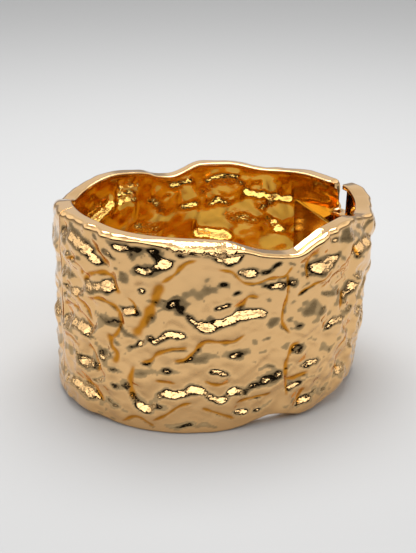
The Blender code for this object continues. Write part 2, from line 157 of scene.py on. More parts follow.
# Ledges of the cast relief on the front half: the wall is hollow above the line and swells below it,
# so the face between leans back. Each row has the half width in millimetres, the lean in degrees and
# the line's (turn, height) points from left to right.
Ledge = namedtuple("Ledge", "half_width lean line")
LEDGES = [Ledge(*row) for row in (
    # the long crack
    (1.5, 24, ((233.5, 27.4), (236, 27.0), (238.5, 26.0), (241, 24.6), (243.5, 23.3), (246.5, 22.3))),
    (0.4, 20, ((239.5, 25.4), (242, 23.9), (245, 22.8))),
    (1.1, 44, ((245.5, 22.3), (248, 22.2), (252, 22.9), (256, 23.5), (262, 24.3), (267, 24.2), (271, 24.0))),
    # the snake above the foot
    (0.9, 42, ((219.4, 9.0), (220.5, 7.4), (222, 5.9), (224.5, 4.7), (227, 4.9), (228.6, 6.4), (230.4, 7.8),
               (233, 8.5), (236, 8.2), (239, 8.7), (242, 9.5), (245, 9.2), (247, 8.8), (249, 7.8), (252, 6.9),
               (254, 7.1), (256, 8.2), (258, 8.6), (261, 8.2), (263, 7.5))),
    (0.7, 26, ((229, 6.0), (231, 5.6), (233, 6.4))),
    # the rope on the left of the middle
    (0.7, 26, ((218.5, 17.2), (222, 17.8), (225, 18.2))),
    (0.8, 40, ((224, 18.2), (227, 19.7), (229, 19.2), (231, 19.8), (233, 20.5), (236, 20.8), (240, 20.5))),
    # hollows under the upper rim
    (1.1, 24, ((220.5, 37.1), (224, 37.2), (229, 37.2), (234, 36.7))),
    (0.9, 38, ((213.5, 37.2), (216.5, 37.0), (219, 37.6))),
    (1.6, 14, ((219, 35.0), (226, 35.4), (233, 35.6))),
    (1.08, 38, ((222.5, 33.6), (226, 33.2), (229, 34.2))),
    (1.08, 41, ((230.5, 34.6), (233, 34.8), (235.5, 35.4))),
    (1.0, 42, ((237, 37.2), (243, 37.4), (250, 36.9), (254, 36.4))),
    (1.4, 42, ((252, 36.2), (256, 35.6), (261, 36.0))),
    (0.5, 40, ((286, 34.5), (290, 35.2), (295, 36.2), (299, 37.0))),
    (0.7, 24, ((287, 35.5), (291, 36.2), (296, 37.0))),
    (0.9, 38, ((259.0, 33.2), (263, 32.5), (267, 32.4))),
    (0.69, 25, ((269, 32.2), (272, 32.4), (275, 33.4), (278, 33.6))),
    (0.92, 25, ((269, 29.9), (272, 29.3), (274, 29.2))),
    (0.96, 36, ((274, 29.6), (276, 29.2), (279, 28.9))),
    # single drops
    (0.96, 40, ((223, 29.2), (226.2, 29.2))),
    (1.0, 42, ((216.5, 24.0), (219, 24.6), (221.5, 25.4))),
    (1.5, 17, ((216.0, 31.4), (221, 31.0))),
    # dark dashes of the middle
    (0.8, 35, ((250, 25.6), (253, 26.0), (257, 26.6))),
    (0.65, 22, ((252.5, 30.6), (255.5, 30.9))),
    (0.6, 24, ((257.5, 28.5), (261, 28.9))),
    (0.69, 15, ((231.5, 13.2), (234.5, 13.3))),
    (0.8, 38, ((248.5, 13.0), (251.5, 13.0), (256.0, 12.0))),
    (0.69, 14, ((256.5, 15.9), (259, 16.1), (261.5, 16.3))),
    (1.3, 12, ((241, 15.2), (246, 16.0), (252, 16.2), (261, 16.2))),
    (1.3, 13, ((222, 12.0), (230, 12.8), (236, 13.0), (242, 13.0))),
    (2.4, 14, ((238, 28.6), (244, 29.2), (252, 29.6), (261, 29.2))),
    (2.4, 15, ((221, 21.6), (225, 23.2), (229, 24.8))),
    (0.57, 14, ((269, 18.6), (273, 19.0))),
    (0.57, 14, ((268, 16.0), (272, 16.2))),
    (0.57, 14, ((270, 21.6), (274, 21.9))),
    # dark hollow by the lower crease
    (1.2, 20, ((263, 9.2), (268, 9.2), (271, 9.8))),
    (1.3, 27, ((269, 10.6), (273, 10.4), (276, 10.6), (279, 11.2))),
    (0.69, 21, ((268, 12.3), (272, 12.6), (276, 12.4))),
    # drops near the foot
    (0.84, 37, ((258, 4.2), (261, 3.9), (264, 4.2))),
    (0.69, 26, ((265.5, 3.8), (268, 3.8), (270, 4.4))),
    (0.57, 15, ((270, 4.6), (274, 5.4))),
    (0.8, 20, ((236, 1.2), (240, 1.9), (243, 2.3))),
    (1.3, 16, ((210.5, 7.8), (214, 8.8), (218.5, 10.2))),
    # right of the crease
    (1.6, 42, ((290.5, 30.2), (293.5, 31.2), (296.5, 31.8))),
    (0.80, 24, ((281, 29.2), (284, 29.6))),
    (0.69, 25, ((283.5, 14.8), (286.5, 15.0))),
    (0.69, 23, ((284, 19.8), (288, 20.2))),
    (1.0, 38, ((289, 11.2), (292, 11.4), (295.5, 11.4))),
    (1.3, 15, ((289, 13.2), (293, 13.8), (297.5, 13.2))),
    (0.96, 37, ((280, 7.4), (284, 7.4), (288, 8.0))),
    (0.57, 25, ((289, 8.6), (294, 8.6))),
    (1.2, 38, ((285.5, 3.0), (288.5, 3.8), (291.5, 4.6))),
    (0.7, 34, ((299.5, 31.8), (303.5, 32.2))),
    (1.7, 50, ((315, 31.6), (321, 32.2), (328, 32.4))),
    (1.7, 48, ((310.0, 22.6), (312.5, 24.2), (315, 24.6))),
    (1.0, 44, ((310.5, 20.4), (314.5, 20.2))),
    (1.0, 42, ((298, 17.8), (302, 18.8), (308, 18.8))),
    (1.6, 48, ((314, 11.2), (318.5, 11.6))),
    (1.1, 44, ((307, 7.2), (310, 7.0), (313.5, 7.0))),
    (1.1, 48, ((316.5, 26.4), (322, 25.6))),
    (1.1, 48, ((318, 17.6), (324, 17.8))),
    (1.44, 44, ((332, 25.0), (339, 26.4), (346, 27.4))),
    (1.32, 42, ((330, 13.6), (337, 14.8), (344, 16.0))),
    (1.20, 42, ((349, 19.8), (357, 21.0))),
    (0.8, 36, ((300.5, 35.6), (303.5, 36.2))),
    (1.4, 20, ((305, 35.2), (310, 35.8), (314, 35.6))),
    (0.9, 26, ((313, 35.6), (318, 35.0), (322, 34.2))),
    (0.9, 20, ((301, 27.0), (306, 27.4), (309, 28.0))),
    (0.8, 34, ((326, 22.0), (331, 23.5))),
    (0.8, 38, ((322, 12.6), (328, 13.4))),
    (2.0, 16, ((286, 22.4), (291, 23.0), (296, 22.6))),
    (1.6, 16, ((300, 21.8), (304, 22.2), (308, 22.0))),
    (0.8, 38, ((330, 6.0), (336, 7.0), (342, 7.6))),
    (0.8, 38, ((333, 33.8), (340, 34.6), (346, 34.8))),
    # left end
    (0.9, 42, ((184, 31.6), (190, 32.6), (196, 32.0))),
    (0.8, 38, ((182, 22.4), (188, 23.0), (193, 22.2))),
    (0.8, 38, ((203, 8.0), (207, 8.8), (210, 10.2))),
    (0.7, 34, ((208, 36.4), (212, 35.4), (215, 34.2))),
    (1.32, 44, ((183, 35.4), (190, 36.2), (198, 35.8))),
    (1.44, 47, ((199, 35.4), (203, 34.6), (206, 33.4), (209, 33.0))),
    (1.08, 43, ((177, 26.2), (184, 27.6), (190, 28.8))),
    (1.0, 52, ((186, 25.4), (191, 25.2), (197, 25.6), (200, 26.4))),
    (1.3, 45, ((200, 27.2), (204, 28.0), (209, 28.8), (213.5, 28.6))),
    (1.5, 50, ((180, 16.4), (187, 17.6), (194, 18.6), (200, 18.4), (203.5, 17.6))),
    (2.3, 19, ((202, 22.2), (207, 22.4), (213, 22.2))),
    (1.5, 44, ((196.5, 12.2), (200, 11.4), (204.5, 11.6))),
    (1.2, 43, ((206.5, 13.6), (209.5, 14.0), (212.5, 15.2))),
    (0.80, 25, ((204, 16.6), (208, 15.6), (211, 15.4))),
    (1.20, 44, ((183, 4.6), (189, 5.8), (195, 5.8), (201, 5.2), (205, 4.8))),
    (1.7, 24, ((181, 11.6), (188, 12.2), (194, 12.4))))]

# Narrow valleys of the front half, where the metal mirrors itself: their deep orange colour is painted shade
# and painted reflection of the metal in itself. Each row has the half width and the depth in millimetres, and
# the line's points.
Valley = namedtuple("Valley", "half_width depth line")
VALLEYS = [Valley(*row) for row in (
    (0.95, 0.55, ((221.5, 20.0), (225, 22.8), (228, 26.2), (230, 29.0), (232, 31.4))),
    (0.44, 0.27, ((232, 31.4), (236, 32.8), (240, 35.0), (244, 35.8))),
    (0.44, 0.30, ((224, 14.4), (227, 14.9), (230, 16.8), (235, 17.9), (240, 18.0))),
    (0.44, 0.30, ((236, 15.3), (240, 15.7), (243, 17.2), (247, 19.4), (252, 19.2), (258, 19.0), (262, 20.1))),
    (0.56, 0.41, ((220.5, 13.2), (219.5, 10.5), (220, 8.0), (221, 6.6))),
    (0.31, 0.20, ((228, 2.6), (233, 4.2), (238, 6.2), (242, 6.8))),
    (0.38, 0.24, ((247, 11.0), (251, 10.3), (256, 10.4))),
    (0.31, 0.20, ((229, 10.9), (236, 10.6))),
    (0.44, 0.30, ((259, 25.9), (262, 26.4), (264, 27.7), (268, 27.4))),
    (0.31, 0.20, ((252, 33.8), (257, 33.2), (260, 31.6), (263, 30.6), (268, 30.4), (273, 30.9), (279, 30.8),
                  (282, 32.4))),
    (0.31, 0.20, ((246, 5.6), (252, 4.2), (258, 2.8))),
    (0.31, 0.20, ((259, 6.2), (264, 6.6), (269, 6.9), (273, 7.2))),
    (0.38, 0.30, ((280.4, 31.0), (280.0, 27.0), (278.2, 23.4), (278.4, 21.2), (281.5, 19.0))),
    (0.50, 0.38, ((286, 16.4), (282.5, 15.8), (280.4, 13.0), (280.2, 9.6), (284, 9.0), (290, 9.7))),
    (0.44, 0.30, ((280.4, 9.6), (280.4, 6.0))),
    (0.38, 0.27, ((286.0, 2.8), (286.8, 4.6), (289.0, 6.2))),
    (0.38, 0.27, ((289.5, 29.4), (289.4, 31.6), (291.5, 33.6), (295, 34.0))),
    (0.31, 0.20, ((296, 27.0), (303, 28.6), (308, 30.2), (312, 31.0))),
    (0.31, 0.20, ((285, 26.6), (292, 28.0), (300, 29.8))),
    (0.38, 0.27, ((310, 16.4), (311.2, 14.8), (309.5, 13.2), (306.5, 12.2))),
    (0.44, 0.30, ((315.5, 34.8), (315.4, 32.6), (316, 30.6))),
    (0.44, 0.30, ((309.3, 24.2), (307.5, 22.8), (306.8, 21.0))),
    (0.44, 0.30, ((307.4, 10.2), (307.0, 8.6), (308.4, 7.2))),
    (0.31, 0.20, ((228, 1.4), (222, 3.0), (216, 1.2))),
    (0.50, 0.38, ((204, 36.6), (207.5, 35.0), (210, 33.0))),
    (0.50, 0.38, ((199, 28.6), (204, 30.6), (209, 31.2), (213, 30.4), (215.5, 28.0))),
    (0.44, 0.34, ((203, 25.2), (208, 26.2), (213.5, 25.2), (216.2, 22.6), (215, 20.0), (212.2, 18.4))),
    (0.62, 0.47, ((211.6, 19.2), (212.2, 17.2), (214.4, 15.6), (213.8, 13.6))),
    (0.44, 0.34, ((201.5, 14.8), (204, 13.8), (206.4, 11.8), (206.0, 10.6))),
    (0.31, 0.20, ((218.5, 27.2), (221, 26.2), (222.3, 24.4))),
    (0.44, 0.34, ((196, 25.2), (200, 23.0), (203, 20.6))),
    (0.38, 0.30, ((183, 20.6), (190, 21.8), (197, 21.2), (203, 19.2))),
    (0.38, 0.30, ((184, 15.0), (191, 15.6), (197, 14.6))),
    (0.44, 0.34, ((199, 7.4), (204, 6.6), (208, 4.4))),
    (0.31, 0.24, ((190, 31.6), (195, 32.4), (199, 31.2), (198, 29.6))))]

# Ledges of the rear half's back, where the wall is thicker above the line than below it
INSIDE_LEDGES = [Ledge(*row) for row in (
    (0.6, 58, ((134, 28.6), (129, 29.4), (124, 30.6), (120, 31.6))),
    (0.45, 58, ((118, 31.2), (113, 31.8), (108, 31.2))),
    (0.45, 58, ((118, 32.8), (113, 33.4), (108, 32.8))),
    (0.45, 58, ((117, 34.4), (112, 34.9), (107, 34.4))),
    (0.9, 31, ((91, 33.4), (86, 33.6), (80, 34.4))),
    (0.6, 25, ((77, 30.6), (73, 31.8), (67, 33.2), (60, 33.4), (55, 33.0))),
    (0.5, 42, ((74, 33.6), (66, 34.8), (58, 34.6))),
    (0.8, 31, ((86, 27.6), (82, 28.0), (77, 28.2))),
    (0.8, 28, ((72, 28.0), (67, 29.2), (62, 28.0))),
    (0.9, 46, ((56, 31.4), (51, 30.8), (47, 30.2))),
    (0.7, 48, ((46, 30.0), (40, 30.4), (34, 30.4))),
    (1.0, 32, ((50, 27.2), (46, 28.2), (42, 29.4))),
    (1.0, 50, ((79, 21.6), (74, 21.2), (68, 20.6), (62, 20.0))),
    (1.0, 42, ((44, 25.6), (42, 23.6), (39, 22.0))),
    (1.1, 24, ((110, 25.0), (103, 24.0), (96, 23.4))),
    (1.0, 28, ((101, 31.0), (97, 29.0), (95, 26.6))),
    (1.2, 22, ((64, 24.4), (57, 25.0), (50, 24.2))),
    (1.2, 34, ((150, 24.0), (143, 25.0), (137, 25.2))),
    (1.0, 32, ((152, 12.0), (140, 13.6), (128, 12.6))),
    (1.0, 32, ((118, 8.0), (104, 9.6), (92, 8.4))),
    (1.0, 32, ((80, 13.0), (68, 14.6), (56, 12.6))))]

# How far a ledge and a valley wander from their lines, over what spacing in millimetres, and the finer
# wandering on top. Each line's phase comes from where it starts.
LEDGE_WANDER = 0.13
LEDGE_SPACING = 6.0
LEDGE_SHIFT_SPACING = 0.7 * LEDGE_SPACING
VALLEY_WANDER = 0.2
VALLEY_SPACING = 5.0
FINE_WANDER = 0.4
FINE_SPACING = 0.55
FINE_PHASE = 2.3
PHASE_BY_TURN = 1.7
PHASE_BY_HEIGHT = 2.9

# Profiles across a line, in half widths: a ledge's steepness, where it has returned to the wall, how
# slowly a valley ends, and how far out either still counts
LEDGE_STEEPNESS = 1.2
LEDGE_RETURN = 3.0
VALLEY_ENDS = 3.0
RELIEF_REACH = 6.0

# Casting ripple all over: its shortest and longest waves in millimetres, how far they fan out, how they
# bend, and how rough each stretch of the oval is
RIPPLE_SHORTEST = 2.6
RIPPLE_LONGEST = 8.5
RIPPLE_WAVES = 9
RIPPLE_FAN = 0.7
RIPPLE_FAN_STEP = 2.4
RIPPLE_PHASE_STEP = 5.0
RIPPLE_BEND = 1.7
BEND_SPACING = 2.7
BEND_ALONG = 0.9
BEND_TURN_STEP = 3.0
ROUGHER = [Wave(*row) for row in (
    (20, 1.3), (150, 1.3), (183, 1.9), (208, 1.9), (222, 1.1), (250, 0.8), (275, 1.0), (292, 1.8),
    (345, 1.8))]
RIPPLE_LOST_ON_FACES = 0.8

# How high the relief may rise, and how it fades at the rims and beside the closing seam, in millimetres
# and shares
RELIEF_LIMIT = 1.25
RELIEF_EDGE = 1.3
RELIEF_AT_EDGE = 0.35
SEAM_REACH = 1.8
RELIEF_AT_SEAM = 0.2

# The hollow backs: their ripple's stretch, slope and shift in degrees, how far they lean out, how thin
# the wall may get, and over how many rows and columns the outer relief is smoothed before they follow it
INSIDE_STRETCH = 1.4
INSIDE_SLOPE = 0.04
INSIDE_SHIFT = 40.0
INSIDE_LEAN = 0.032
THINNEST = 0.35
BLUR_ROWS = 9
BLUR_COLUMNS = 17

# What the marks for the finish show: slopes from which the wall gets a painted dim reflection, darker and
# olive, and then is gritty, the edge radius over which it is hammered, how a valley's painted shade begins,
# and how much paler the inner ledges' faces are, with less of the backs' painted reflection
STEEP_SLOPE = 0.25
PAINTED_DIM_REFLECTION_SLOPE = 0.09
PAINTED_DIM_REFLECTION_STEP = 0.035
PAINTED_DIM_REFLECTION_END = 1.4 * STEEP_SLOPE
PAINTED_DIM_REFLECTION_END_STEP = 0.1
HAMMERED_EDGE = 2.0
VALLEY_EDGE = 1.9
VALLEY_SILL = 0.2
INNER_FACE_PALER = 0.35

# Finishes: colours as sRGB hex, grain sizes and heights in millimetres, and ranges as factors. Noise
# keeps mostly between its low and high.
GOLD = "F1C387"
# Painted dim reflection: a darker olive colour where the wall leans back a little, standing for the dimmer
# surroundings mirrored there
PAINTED_DIM_REFLECTION_COLOUR = "B6986C"
# Painted shade and self-reflection: deep orange in the narrow valleys
VALLEY_PAINTED_SHADE = "CB8526"
# Painted reflection: the orange that light takes on as it mirrors round the inside, painted on the hollow
# backs and the spring plate
INSIDE_PAINTED_REFLECTION = "F2BE50"
PIN_GOLD = "F0C288"
POLISH_ROUGHNESS = 0.09
POLISH_RANGE = (0.7, 1.4)
BACK_ROUGHNESS = 0.05
KNUCKLE_ROUGHNESS = 0.12
PIN_ROUGHNESS = 0.15
PLATE_ROUGHNESS = 0.16
LINED_RANGE = (0.75, 1.35)
CARD_ROUGHNESS = 0.9
NOISE_LOW, NOISE_HIGH = 0.3, 0.7
CLOUD_SIZE = 3.8
PITTING_SIZE = 1.1
PITTING_HEIGHT = 0.05
PITTING_STRENGTH = 0.25
GRIT_SIZE = 0.87
GRIT_HEIGHT = 0.22
LINE_SIZE = 0.9
LINE_STRETCH = 9.0
LINE_HEIGHT = 0.03
LINE_STRENGTH = 0.3

# Stage. The sky's rows give its brightness against the sine of the elevation.
FLOOR_RADIUS = 20.0
FLOOR_WHITE = "ACACAC"
SKY_IN_FRONT = ((0.0, 0.20), (0.09, 0.17), (0.12, 0.004), (0.42, 0.004), (0.47, 1.0), (0.7, 1.3), (0.95, 0.3))
SKY_AT_SIDES = ((0.0, 0.20), (0.1, 0.17), (0.15, 0.11), (0.26, 0.11), (0.34, 0.55), (0.55, 0.6), (0.8, 0.3))
SKY_BEHIND = ((0.0, 0.16), (0.2, 0.20), (0.25, 0.36), (0.4, 0.4), (0.55, 0.35), (0.8, 0.3))
SIDES_BEGIN, SIDES_END = (0.0, 0.65), (-0.75, -0.58)
KEY_AZIMUTH, KEY_ELEVATION = 160.0, 74.0
KEY_DISTANCE, KEY_WIDTH = 0.38, 0.3
CAMERA_AIM = (0.0, 0.0, 0.019)
CAMERA_LENS = 77.0
CAMERA_SHIFT = (-0.0088, 0.0172)
CAMERA_NEAREST = 0.005


def smooth_step(share):
    """Ease from 0 to 1 as share goes from 0 to 1."""
    share = np.clip(share, 0.0, 1.0)
    return share * share * (3.0 - 2.0 * share)


def turn_difference(turn, other):
    """Signed angle from other to turn, within half a turn."""
    return (np.asarray(turn, float) - other + 180.0) % 360.0 - 180.0


def arc_per_degree():
    """Mean length of the oval for each degree of turn."""
    return pi * (OVAL_LENGTH + OVAL_DEPTH) / 2.0 / 360.0


def wave_size(waves, turn):
    """Size on a smooth closed line through the waves, level between two that are equal."""
    knots = np.array([wave.turn for wave in waves], float)
    values = np.array([wave.size for wave in waves])
    spans = np.diff(np.append(knots, knots[0] + 360.0))
    rises = np.diff(np.append(values, values[0])) / spans
    before = np.roll(rises, 1)
    same = before * rises > 0.0
    slopes = np.where(same, 2.0 * before * rises / np.where(same, before + rises, 1.0), 0.0)
    place = (np.asarray(turn, float) - knots[0]) % 360.0
    index = np.searchsorted(knots - knots[0], place, side="right") - 1
    after = (index + 1) % len(knots)
    share = (place - (knots - knots[0])[index]) / spans[index]
    ease = smooth_step(share)
    return (values[index] * (1.0 - ease) + values[after] * ease
            + spans[index] * share * (1.0 - share) * (slopes[index] * (1.0 - share) - slopes[after] * share))


def oval(turn):
    """Point of the outer oval at a turn, and its outward normal."""
    cosine, sine = np.cos(np.radians(turn)), np.sin(np.radians(turn))
    half_x, half_y = OVAL_LENGTH / 2.0, OVAL_DEPTH / 2.0
    radius = (abs(cosine / half_x) ** OVAL_POWER + abs(sine / half_y) ** OVAL_POWER) ** (-1.0 / OVAL_POWER)
    x, y = radius * cosine, radius * sine
    slope_x = np.sign(x) * abs(x / half_x) ** (OVAL_POWER - 1.0) / half_x
    slope_y = np.sign(y) * abs(y / half_y) ** (OVAL_POWER - 1.0) / half_y
    steepness = np.hypot(slope_x, slope_y)
    return x, y, slope_x / steepness, slope_y / steepness


def swell_rise(turn, height):
    """Broad swelling of the whole wall."""
    total = np.zeros(np.broadcast(turn, height).shape)
    for swell in SWELLS:
        along = turn_difference(turn, swell.turn) * arc_per_degree() / (swell.spread_along * SWELL_SPREAD)
        up = (height - swell.height * HEIGHT) / (swell.spread_up * SWELL_SPREAD)
        total = total + swell.rise * np.exp(-along ** 2 - up ** 2)
    return total


def smooth_line(line, steps=6):
    """More points on a smooth line through a few."""
    points = np.array(line, float)
    points = np.vstack([2 * points[0] - points[1], points, 2 * points[-1] - points[-2]])
    found = []
    for index in range(1, len(points) - 2):
        before, start, end, after = points[index - 1:index + 3]
        for share in np.arange(steps) / steps:
            bend = (2 * before - 5 * start + 4 * end - after) * share ** 2
            twist = (3 * start - before - 3 * end + after) * share ** 3
            found.append(start + 0.5 * ((end - before) * share + bend + twist))
    return np.array(found + [points[-2]])


def line_places(line, turn, height):
    """Distance above a line, in millimetres, and along it from its start, with the line's length."""
    points = smooth_line(line)
    points[:, 0] = turn_difference(points[:, 0], points[0, 0])
    points[:, 0] *= arc_per_degree()
    x = turn_difference(turn, line[0][0]) * arc_per_degree()
    nearest = np.full(x.shape, np.inf)
    above, along = np.zeros(x.shape), np.zeros(x.shape)
    travelled = 0.0
    for start, end in zip(points[:-1], points[1:]):
        run, rise = end - start
        length = sqrt(run ** 2 + rise ** 2)
        place = ((x - start[0]) * run + (height - start[1]) * rise) / length
        on_line = np.clip(place, 0.0, length)
        away_x = x - start[0] - on_line * run / length
        away_z = height - start[1] - on_line * rise / length
        distance = np.hypot(away_x, away_z)
        side = np.sign((height - start[1]) * run - (x - start[0]) * rise)
        closer = distance < nearest
        nearest = np.where(closer, distance, nearest)
        above = np.where(closer, distance * side, above)
        along = np.where(closer, travelled + place, along)
        travelled += length
    return above, along, travelled


def end_fade(along, length, ease):
    """1 along a line, a half at its ends and 0 beyond them."""
    ease = min(ease, length / 2.0)
    return smooth_step(np.minimum(along, length - along) / (2.0 * ease) + 0.5)


def wandering(along, line, spacing):
    """Unevenness along a line, between -1 and 1."""
    phase = PHASE_BY_TURN * line[0][0] + PHASE_BY_HEIGHT * line[0][1]
    place = 2.0 * pi * along / spacing
    broad, fine = np.sin(place + phase), np.sin(place / FINE_SPACING + FINE_PHASE * phase)
    return (1.0 - FINE_WANDER) * broad + FINE_WANDER * fine


def ledge_rise(ledge, turn, height):
    """Hollow above the line and swollen below it, with a slow return on both sides, and the face's share."""
    above, along, length = line_places(ledge.line, turn, height)
    width = ledge.half_width * (1.0 + LEDGE_WANDER * wandering(along, ledge.line, LEDGE_SPACING))
    across = above / width + LEDGE_WANDER * wandering(along + length, ledge.line, LEDGE_SHIFT_SPACING)
    drop = tan(radians(ledge.lean)) * ledge.half_width / LEDGE_STEEPNESS
    profile = np.tanh(LEDGE_STEEPNESS * across) * np.exp(-(across / LEDGE_RETURN) ** 2)
    fade = end_fade(along, length, ledge.half_width)
    return -drop * profile * fade, np.exp(-0.5 * across ** 2) * fade


def valley_depth(valley, turn, height):
    """Share of a valley's depth."""
    above, along, length = line_places(valley.line, turn, height)
    uneven = wandering(along, valley.line, VALLEY_SPACING)
    width = valley.half_width * (1.0 + VALLEY_WANDER * uneven)
    return (np.exp(-(above / width) ** 2) * (1.0 - VALLEY_WANDER * (1.0 - uneven))
            * end_fade(along, length, VALLEY_ENDS * valley.half_width))


def rear_line(line):
    """A front line on the rear half, half a turn away and upside down."""
    return tuple((turn - 180.0, HEIGHT - height) for turn, height in line)


def on_half(rows, rear):
    """The rows of a table, moved to the rear half if asked."""
    return [row._replace(line=rear_line(row.line)) for row in rows] if rear else rows


def near(line, half_width, turn, height):
    """Where a line is near enough to matter."""
    turns, heights = [point[0] for point in line], [point[1] for point in line]
    reach = RELIEF_REACH * half_width
    middle = (min(turns) + max(turns)) / 2.0
    span = (max(turns) - min(turns)) / 2.0 * arc_per_degree() + reach
    aside = abs(turn_difference(turn, middle)) * arc_per_degree() < span
    return aside & (height > min(heights) - reach) & (height < max(heights) + reach)


def ripple(turn, height, stretch=1.0):
    """Gentle unevenness of the cast surface, in millimetres for each unit of slope, as wandering waves."""
    along, up = np.radians(turn) * OVAL_LENGTH / 2.0, np.asarray(height, float)
    total = 0.0
    for index, spacing in enumerate(np.linspace(RIPPLE_SHORTEST, RIPPLE_LONGEST, RIPPLE_WAVES) * stretch):
        angle = pi / 2.0 + RIPPLE_FAN * sin(RIPPLE_FAN_STEP * index)
        bend_place = along * BEND_ALONG + up * cos(BEND_TURN_STEP * index)
        bend = np.sin(bend_place * 2.0 * pi / (BEND_SPACING * spacing) + index)
        wave = (along * cos(angle) + up * sin(angle)) * 2.0 * pi / spacing + RIPPLE_BEND * bend
        total = total + np.sin(wave + RIPPLE_PHASE_STEP * index) * spacing / (2.0 * pi)
    return total


def ledges_rise(ledges, turn, height):
    """Rise of all the ledges of a table, and the share of the nearest one's face."""
    turn, height = np.broadcast_arrays(turn, height)
    total, face_share = np.zeros(turn.shape), np.zeros(turn.shape)
    for ledge in ledges:
        spot = near(ledge.line, ledge.half_width, turn, height)
        rise, share = ledge_rise(ledge, turn[spot], height[spot])
        total[spot] += rise
        face_share[spot] = np.maximum(face_share[spot], share)
    return total, face_share


def relief(turn, height, rear, sizes):
    """Rise of the outer face above the swollen oval, and how far it is inside a valley, which sets the
    valley's painted shade.
    """
    turn, height = np.broadcast_arrays(turn, height)
    total, face_share = ledges_rise(on_half(LEDGES, rear), turn, height)
    total *= sizes.ledge_height
    valley_painted_shade_share = np.zeros(turn.shape)
    for valley in on_half(VALLEYS, rear):
        spot = near(valley.line, valley.half_width, turn, height)
        share = valley_depth(valley, turn[spot], height[spot])
        total[spot] -= sizes.valley_depth * valley.depth * share
        # How far a point is inside a valley sets its painted shade and self-reflection colour
        valley_painted_shade_share[spot] = np.maximum(valley_painted_shade_share[spot], smooth_step(VALLEY_EDGE * share - VALLEY_SILL))
    top = wave_size(UPPER_RIM, turn) * HEIGHT
    foot = wave_size(LOWER_RIM, turn) * HEIGHT
    inside = np.minimum(top - height, height - foot)
    fade = RELIEF_AT_EDGE + (1.0 - RELIEF_AT_EDGE) * smooth_step(inside / RELIEF_EDGE)
    total = RELIEF_LIMIT * np.tanh(total * fade / RELIEF_LIMIT)
    uneven = sizes.ripple_slope * wave_size(ROUGHER, turn) * (1.0 - RIPPLE_LOST_ON_FACES * face_share)
    return total + uneven * ripple(turn, height) * fade, valley_painted_shade_share


def turn_at(y):
    """Turn of the oval's point at the hinge end with this y."""
    half_x, half_y = OVAL_LENGTH / 2.0, OVAL_DEPTH / 2.0
    x = half_x * (1.0 - abs(y / half_y) ** OVAL_POWER) ** (1.0 / OVAL_POWER)
    return float(np.degrees(np.arctan2(y, x)))


def seam_half(sizes):
    """Half the turn that the closing seam takes up."""
    return sizes.seam_gap / MM / 2.0 * sqrt(1.0 + SEAM_SKEW ** 2) / arc_per_degree()


# An end of a half shell, and the marks that its points carry for their finish, painted shade and reflection
# among them
End = namedtuple("End", "turn skew hinged")
# The valley, inside and dim-reflection marks carry painted shade and reflection colours; leaning sets the
# grit
MARKS = ("valley", "inside", "leaning", "dull")


def column_turns(start, end):
    """Turns of a half shell's columns, close together at its rounded ends."""
    wall = END_WALL / arc_per_degree()
    step_in = GAP / arc_per_degree()
    rounding = END_ROUND / arc_per_degree()
    corner = start + rounding * (1.0 - np.cos(np.linspace(0.0, pi / 2.0, CORNER_COLUMNS)))
    first_wall = np.linspace(start + rounding, start + wall, WALL_COLUMNS)[1:]
    inner_start, inner_end = start + wall + step_in, end - wall - step_in
    count = round((inner_end - inner_start) * arc_per_degree() / COLUMN_STEP)
    begin = np.concatenate((corner, first_wall))
    finish = (start + end) - begin[::-1]
    return np.concatenate((begin, np.linspace(inner_start, inner_end, count + 1), finish))


def quarter_round(rows):
    """Sine and cosine at each row of a rounded edge."""
    angles = [pi / 2.0 * step / rows for step in range(1, rows + 1)]
    return [(sin(angle), cos(angle)) for angle in angles]


